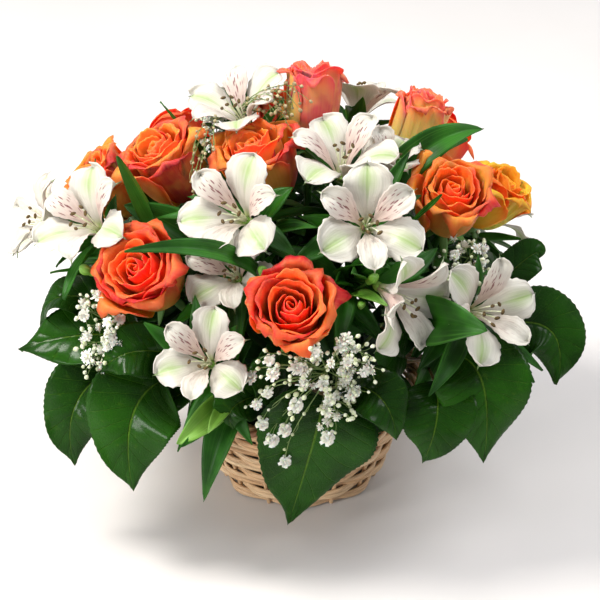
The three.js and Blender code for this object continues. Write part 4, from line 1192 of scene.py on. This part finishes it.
def windBase(tree, given):
    # rods wound round the middle of the base, over and under its spokes
    ring = step(tree, "CurvePrimitiveCircle", {"Resolution": 96})
    rings, share, row = numberedCopies(tree, given["Rings"], ring)
    turn = share * (2 * math.pi)
    pitch = given["Radius"] / (given["Rings"] + 0.5)
    wave = turn * given["Spokes"] * 0.5 + row * math.pi
    z = given["Height"] * 0.5 + wave.cos() * given["Height"] * 0.17
    rings = step(tree, "SetPosition", {"Geometry": rings, "Position": onCircle(tree, turn, pitch * (row + 1), z)})
    rings = step(tree, "SetCurveNormal", {"Curve": rings}, mode="Z_UP")
    layRods(tree, rings, pitch * 0.5, given["Height"] * 0.3, turn * 1.2 + row * 5.3, 0.5, given["Willow"])


def weave(name, build, material, *given):
    # a plain mesh of one of the basket's trees
    inputs = {"Willow": material}
    for numbers, lengths in (basket[key] for key in given):
        inputs.update(numbers)
        inputs.update({label: length * mm for label, length in lengths.items()})
    tree, sockets = newTree(name, inputs)
    build(tree, sockets)
    return growMesh(name, tree, inputs)


def joinMeshes(name, meshes):
    parts = [bpy.data.objects.new(name, mesh) for mesh in meshes]
    bpy.ops.object.select_all(action="DESELECT")
    for part in parts:
        bpy.context.collection.objects.link(part)
        part.select_set(True)
    bpy.context.view_layer.objects.active = parts[0]
    if len(parts) > 1:
        bpy.ops.object.join()
    return parts[0]


rods = weave("rods", weaveRods, willow, "rim", "wall", "rods")
stakes = weave("stakes", setStakes, willow, "rim", "wall", "stakes")
finishPiece(joinMeshes("basketWall", [rods, stakes]), "willow", "basket_wall")
border = weave("border", twistBorder, borderWillow, "rim", "border")
finishPiece(joinMeshes("basketBorder", [border]), "border_willow", "basket_border")
base = weave("base", windBase, willow, "base")
finishPiece(joinMeshes("basketBase", [base]), "willow", "basket_base")
print("basket woven")


# The liner and the foam that holds every stem

liner = {"thickness": 1.2, "foot": (43, 5.3), "rim": (60.5, 62)}   # foot and rim are radius and height
wall, foot, rim = liner["thickness"], vec(*liner["foot"]), vec(*liner["rim"])
sides = [foot + (rim - foot) * share for share in np.linspace(0, 1, 9)]
inside = [(r - wall, max(z, foot[1] + wall)) for r, z in reversed(sides)]
linerShape = newShape()
addLathe(linerShape, [(0, foot[1]), *sides, *inside, (0, foot[1] + wall)], np.asarray, 72, ribs=36, ribDepth=0.004)
makePiece("basketLiner", linerShape, [linerBlack], "liner", "basket_liner")
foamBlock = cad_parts["foam_block"]
foamBlock.data.materials.clear()
foamBlock.data.materials.append(foamGreen)


# Gypsophila: each spray's fork, the way it opens, its branches, and the ends of the twigs that hang forward

gypsophila = {
    "sprays": {
        "front": {
            "fork": (14, -93, 131), "aim": (0.1, -0.95, 0.05), "branch": 28, "branches": 4, "open": 1.15, "seed": 6,
            "hanging": [(-16, -104, 145), (-14, -107, 138), (-2, -111, 145), (-17, -104, 124), (-23, -102, 115),
                        (-2, -107, 118), (-20, -101, 101), (12, -109, 133), (16, -107, 122), (37, -100, 137),
                        (-8, -101, 97), (-15, -99, 89), (15, -103, 93), (-8, -99, 74), (29, -103, 124),
                        (7, -111, 155), (-26, -100, 131), (22, -104, 154)]},
        "left": {
            "fork": (-100, -62, 138), "aim": (-0.8, -0.5, 0.1), "branch": 21, "branches": 3, "open": 0.9, "seed": 11},
        "right": {
            "fork": (86, -34, 151), "aim": (0.85, -0.4, 0.2), "branch": 24, "branches": 4, "open": 1, "seed": 1},
        "top": {
            "fork": (-48, 50, 184), "aim": (0, 0.2, 1), "branch": 20, "branches": 3, "open": 0.7, "seed": 8,
            "dry": True,
            "hanging": [(-58, -14, 213), (-59, -17, 204), (-58, -20, 196), (-52, -12, 215), (-55, -18, 200),
                        (-48, -20, 193), (-47, -10, 219), (-16, 16, 227), (-11, 18, 232), (-4, 18, 230),
                        (-7, 14, 219), (-13, 17, 229), (-8, 18, 225), (0, 18, 233), (-18, 16, 220)]},
    },
    "branchStep": 0.05,
    "radii": {"floret": 3.5, "bud": 1.1, "dryBud": 0.9, "branch": 0.42, "sideTwig": 0.26, "budTwig": 0.17},
    "stemRadii": (1.1, 0.7), "hangingRadii": (0.4, 0.22),
    "budsThatOpen": 0.12,
}
goldenAngle = 2.39996


def coneDirection(aim, index, count, openness, turn):
    tilt = openness * math.sqrt((index + 0.5) / count)
    angle = index * goldenAngle + turn
    aside = math.sin(tilt)
    return facing((0, 0, 0), aim, 0)(vec(aside * math.cos(angle), aside * math.sin(angle), math.cos(tilt)))


def makeFloret():
    # a double floret: four whorls of short petals over a small cup
    shape = newShape()
    whorls = [(7, 1.0, -0.1, 0.52), (7, 0.84, 0.32, 0.46), (6, 0.62, 0.66, 0.42), (4, 0.34, 0.95, 0.34)]
    for whorl, (count, reach, rise, wide) in enumerate(whorls):
        for i in range(count):
            turn = 2 * math.pi * (i + 0.45 * whorl) / count
            long = 0.86 + 0.14 * ((i * 5 + whorl) % 3)
            path = [(0.05, -0.2), (reach * 0.6, rise * 0.55 + 0.05 * long),
                    (reach * long, rise * long - 0.06 * (i % 2))]
            halves = (0.06, wide * 0.5, wide * 0.42)
            c, s = math.cos(turn), math.sin(turn)
            points = [(r * c - aside * s, r * s + aside * c, z)
                      for (r, z), half in zip(path, halves) for aside in (-half, half)]
            addPart(shape, points, [(0, 2, 3, 1), (2, 4, 5, 3)], (0.5, 0.5), (0, 0.2, 0))
    # the middle of the floret, and the cup under it
    ring = np.arange(5)
    after = (ring + 1) % 5
    angle = 2 * np.pi * ring / 5
    ends = (0.34, 0.3, 0.95, after, ring), (0.3, -0.1, -0.75, ring, after)
    for material, (radius, z, tip, first, last) in enumerate(ends):
        rim = np.stack([radius * np.cos(angle), radius * np.sin(angle), np.full(5, z)], 1)
        faces = np.stack([first, np.full(5, 5), last, last], 1)
        addPart(shape, np.concatenate([rim, [[0, 0, tip]]]), faces, (0.5, 0.5), (0, 0, 0), material)
    return makeMesh("floret", shape, [floretWhite, gypBud])


def makeBud(material):
    shape = newShape()
    addLathe(shape, [(0, -1.1), (0.55, -0.75), (0.95, 0), (0.7, 0.7), (0, 1.15)], np.asarray, 6)
    return makeMesh("bud", shape, [material])


def placingTree(given):
    # sets the given shape on every point, along the point's own direction
    tree, given = newTree("florets on twigs", given)
    turned = out(addNode(tree, "FunctionNodeAlignRotationToVector", {
        "Vector": reading(tree, "way", "FLOAT_VECTOR")}, axis="Z"))
    shape = out(addNode(tree, "GeometryNodeObjectInfo", {"Object": given["Shape"]}), "Geometry")
    scale = reading(tree, "size") * given["Size"]
    scale = joinXyz(tree, scale, scale, scale)
    placed = step(tree, "InstanceOnPoints", {
        "Points": given["Points"], "Instance": shape, "Rotation": turned, "Scale": scale})
    made = step(tree, "RealizeInstances", {0: placed})
    tree.links.new(made.socket, tree.nodes.new("NodeGroupOutput").inputs[0])
    return tree


def pointMesh(spots):
    # a spot has its place, its direction and its size
    places, ways, sizes = (np.array(column, float).ravel() for column in zip(*spots))
    mesh = bpy.data.meshes.new("spots")
    mesh.vertices.add(len(spots))
    mesh.vertices.foreach_set("co", places * mm)
    mesh.attributes.new("way", "FLOAT_VECTOR", "POINT").data.foreach_set("vector", ways)
    mesh.attributes.new("size", "FLOAT", "POINT").data.foreach_set("value", sizes)
    return mesh


def twig(shape, start, way, length, radius, chance, bend=0.12, steps=6):
    aside = unit(np.cross(way, chance.normal(size=3)))
    t = np.linspace(0, 1, steps)[:, None]
    path = start + way * length * t + aside * length * bend * np.sin(np.pi * t)
    addTube(shape, path, radius * np.linspace(1, 0.7, steps), 5)
    return path


def growBranches(shape, spray, route, aim, chance, florets, buds):
    radii = gypsophila["radii"]
    draw = parkMiller(spray["seed"])
    for i in range(spray["branches"]):
        down = gypsophila["branchStep"] * (spray["branches"] - 1 - i)
        start = route[round(40 * (1 - down))]
        way = coneDirection(aim, i, spray["branches"], spray["open"], 0.5 * next(draw))
        length = spray["branch"] * (0.8 + 0.4 * next(draw))
        spin = 360 * next(draw)
        next(draw), next(draw)
        path = twig(shape, start, way, length, radii["branch"], chance, 0.06)
        florets.append((path[-1], unit(way + 0.3 * chance.normal(size=3)), chance.uniform(0.9, 1.25)))
        for k in range(6):
            joint = start + way * length * (0.35 + 0.11 * k)
            across = unit(np.cross(way, vec(math.cos(k * 2.4 + spin), math.sin(k * 2.4 + spin), 0.4 * math.sin(k))))
            sideWay = unit(0.75 * way + across * chance.uniform(0.6, 1.2))
            reach = length * chance.uniform(0.35, 0.6) * (1 - 0.05 * k)
            sidePath = twig(shape, joint, sideWay, reach, radii["sideTwig"], chance)
            tips = florets if k % 2 == 0 else buds
            tips.append((sidePath[-1], unit(sideWay + 0.5 * chance.normal(size=3)), chance.uniform(0.85, 1.25)))
            for foot in sidePath[1:5]:
                budWay = unit(sideWay + 1.1 * unit(chance.normal(size=3)))
                budPath = twig(shape, foot, budWay, chance.uniform(5, 11), radii["budTwig"], chance)
                if chance.random() < gypsophila["budsThatOpen"]:
                    florets.append((budPath[-1], budWay, chance.uniform(0.7, 1.0)))
                else:
                    buds.append((budPath[-1], budWay, chance.uniform(0.75, 1.45)))


def hangTwig(shape, spot, route, aim, chance, tips, buds, marks):
    # a twig that hangs forward to its own floret, with buds at its marks
    start = route[-1 - int(chance.integers(3))]
    drop = np.linalg.norm(spot - start)
    t = np.linspace(0, 1, 12)[:, None]
    path = bezier(start, start + aim * drop * 0.35, spot + vec(0, 0.1, 0.35) * drop, spot, t)
    addTube(shape, path, np.linspace(*gypsophila["hangingRadii"], 12), 5)
    way = unit(vec(0, -0.8, 0.5) + 0.35 * chance.normal(size=3))
    tips.append((spot, way, chance.uniform(0.95, 1.3)))
    for m in marks:
        budWay = unit(path[m] - path[m - 1] + 1.1 * unit(chance.normal(size=3)) + vec(0, -0.4, 0))
        budPath = twig(shape, path[m], budWay, chance.uniform(5, 10), gypsophila["radii"]["budTwig"], chance)
        buds.append((budPath[-1], budWay, chance.uniform(0.8, 1.5)))


models = {"floret": makeFloret(), "bud": makeBud(gypBud), "dryBud": makeBud(gypDryBud)}
models = {name: bpy.data.objects.new(name, mesh) for name, mesh in models.items()}
placing = placingTree({"Points": None, "Shape": models["bud"], "Size": 1.0})

for name, spray in gypsophila["sprays"].items():
    chance = drawsOf("spray", spray["seed"])
    fork, aim = vec(*spray["fork"]), unit(spray["aim"])
    route = stemRoute(rootInFoam(fork), outward(fork), fork, aim, 41)
    shape, spots = newShape(), {"floret": [], "bud": [], "dryBud": []}
    addTube(shape, route, np.linspace(*gypsophila["stemRadii"], 41), 7)
    growBranches(shape, spray, route, aim, chance, spots["floret"], spots["bud"])
    # the twigs of a dry spray end in buds too, and carry one more
    tip, along, marks = "floret", "bud", (5, 7, 9, 10)
    if spray.get("dry"):
        tip, along, marks = "dryBud", "dryBud", (5, 7, 8, 9, 10)
    for spot in spray.get("hanging", []):
        hangTwig(shape, vec(*spot), route, aim, chance, spots[tip], spots[along], marks)
    meshes = [makeMesh("twigs", shape, [twigGreen])]
    for kind, model in models.items():
        if spots[kind]:
            inputs = {"Shape": model, "Size": gypsophila["radii"][kind]}
            meshes.append(growMesh("spots", placing, inputs, pointMesh(spots[kind])))
    finishPiece(joinMeshes(f"gypsophilaSpray_{name}", meshes), "gypsophila", f"gypsophila_{name}")
for model in models.values():
    bpy.data.objects.remove(model)
print("gypsophila made")


# Floor, lights and camera

studio = {
    "floor": 4, "floorHeight": -0.0004,
    "sky": (0.93, 0.95, 1.0, 1), "skyStrength": 0.66,
    # the walls are bright and the camera's side of the room is dimmer
    "dimmed": {"towards": (0, -0.84, 0.54), "from": 0.3, "to": 0.95, "by": -0.26},
    # place in metres, size, power and tint
    "lights": {
        "key": ((-0.62, 0.02, 1.15), 0.42, 17, (1, 0.975, 0.93)),
        "fill": ((0.7, 0.0, 1.15), 0.7, 9, (0.98, 0.98, 1)),
        "side": ((-0.82, -0.72, 0.4), 0.32, 6, (1, 0.99, 0.97))},
    "lightsAimAt": (0, 0, 0.12),
    "cameraHeight": 33, "cameraDistance": 1050, "lookAt": (0, 0, 115), "lens": 108.6,
}

half, z = studio["floor"], studio["floorHeight"]
floorMesh = bpy.data.meshes.new("floor")
floorMesh.from_pydata([(-half, -half, z), (half, -half, z), (half, half, z), (-half, half, z)], [], [(0, 1, 2, 3)])
floor = bpy.data.objects.new("floor", floorMesh)
floorMesh.materials.append(plainMaterial("floor", "dedad6", "e2dedb", 0.7, 3, 0.00001))
bpy.context.collection.objects.link(floor)

world = bpy.data.worlds.new("studio")
world.use_nodes = True
tree = world.node_tree
sky = tree.nodes["Background"]
sky.inputs[0].default_value = studio["sky"]
view = out(addNode(tree, "ShaderNodeTexCoord"), "Generated")
dim = studio["dimmed"]
view = out(addNode(tree, "ShaderNodeVectorMath", {0: view, 1: dim["towards"]}, operation="DOT_PRODUCT"), "Value")
feed(tree, sky.inputs[1], view.between(dim["from"], dim["to"]) * dim["by"] + studio["skyStrength"])
bpy.context.scene.world = world
bpy.context.scene.view_settings.view_transform = "Standard"

for name, (place, size, power, tint) in studio["lights"].items():
    lamp = bpy.data.lights.new(name, "AREA")
    lamp.shape = "DISK"
    lamp.size = size
    lamp.energy = power
    lamp.color = tint
    light = bpy.data.objects.new(name, lamp)
    light.location = place
    light.rotation_euler = (Vector(studio["lightsAimAt"]) - Vector(place)).to_track_quat("-Z", "Y").to_euler()
    bpy.context.collection.objects.link(light)

rise = math.radians(studio["cameraHeight"])
camera = bpy.data.objects.new("camera", bpy.data.cameras.new("camera"))
camera.data.lens = studio["lens"]
camera.data.sensor_width = 36
target = vec(*studio["lookAt"]) * mm
camera.location = target + vec(0, -math.cos(rise), math.sin(rise)) * studio["cameraDistance"] * mm
camera.rotation_euler = (math.pi / 2 - rise, 0, 0)
bpy.context.collection.objects.link(camera)
bpy.context.scene.camera = camera
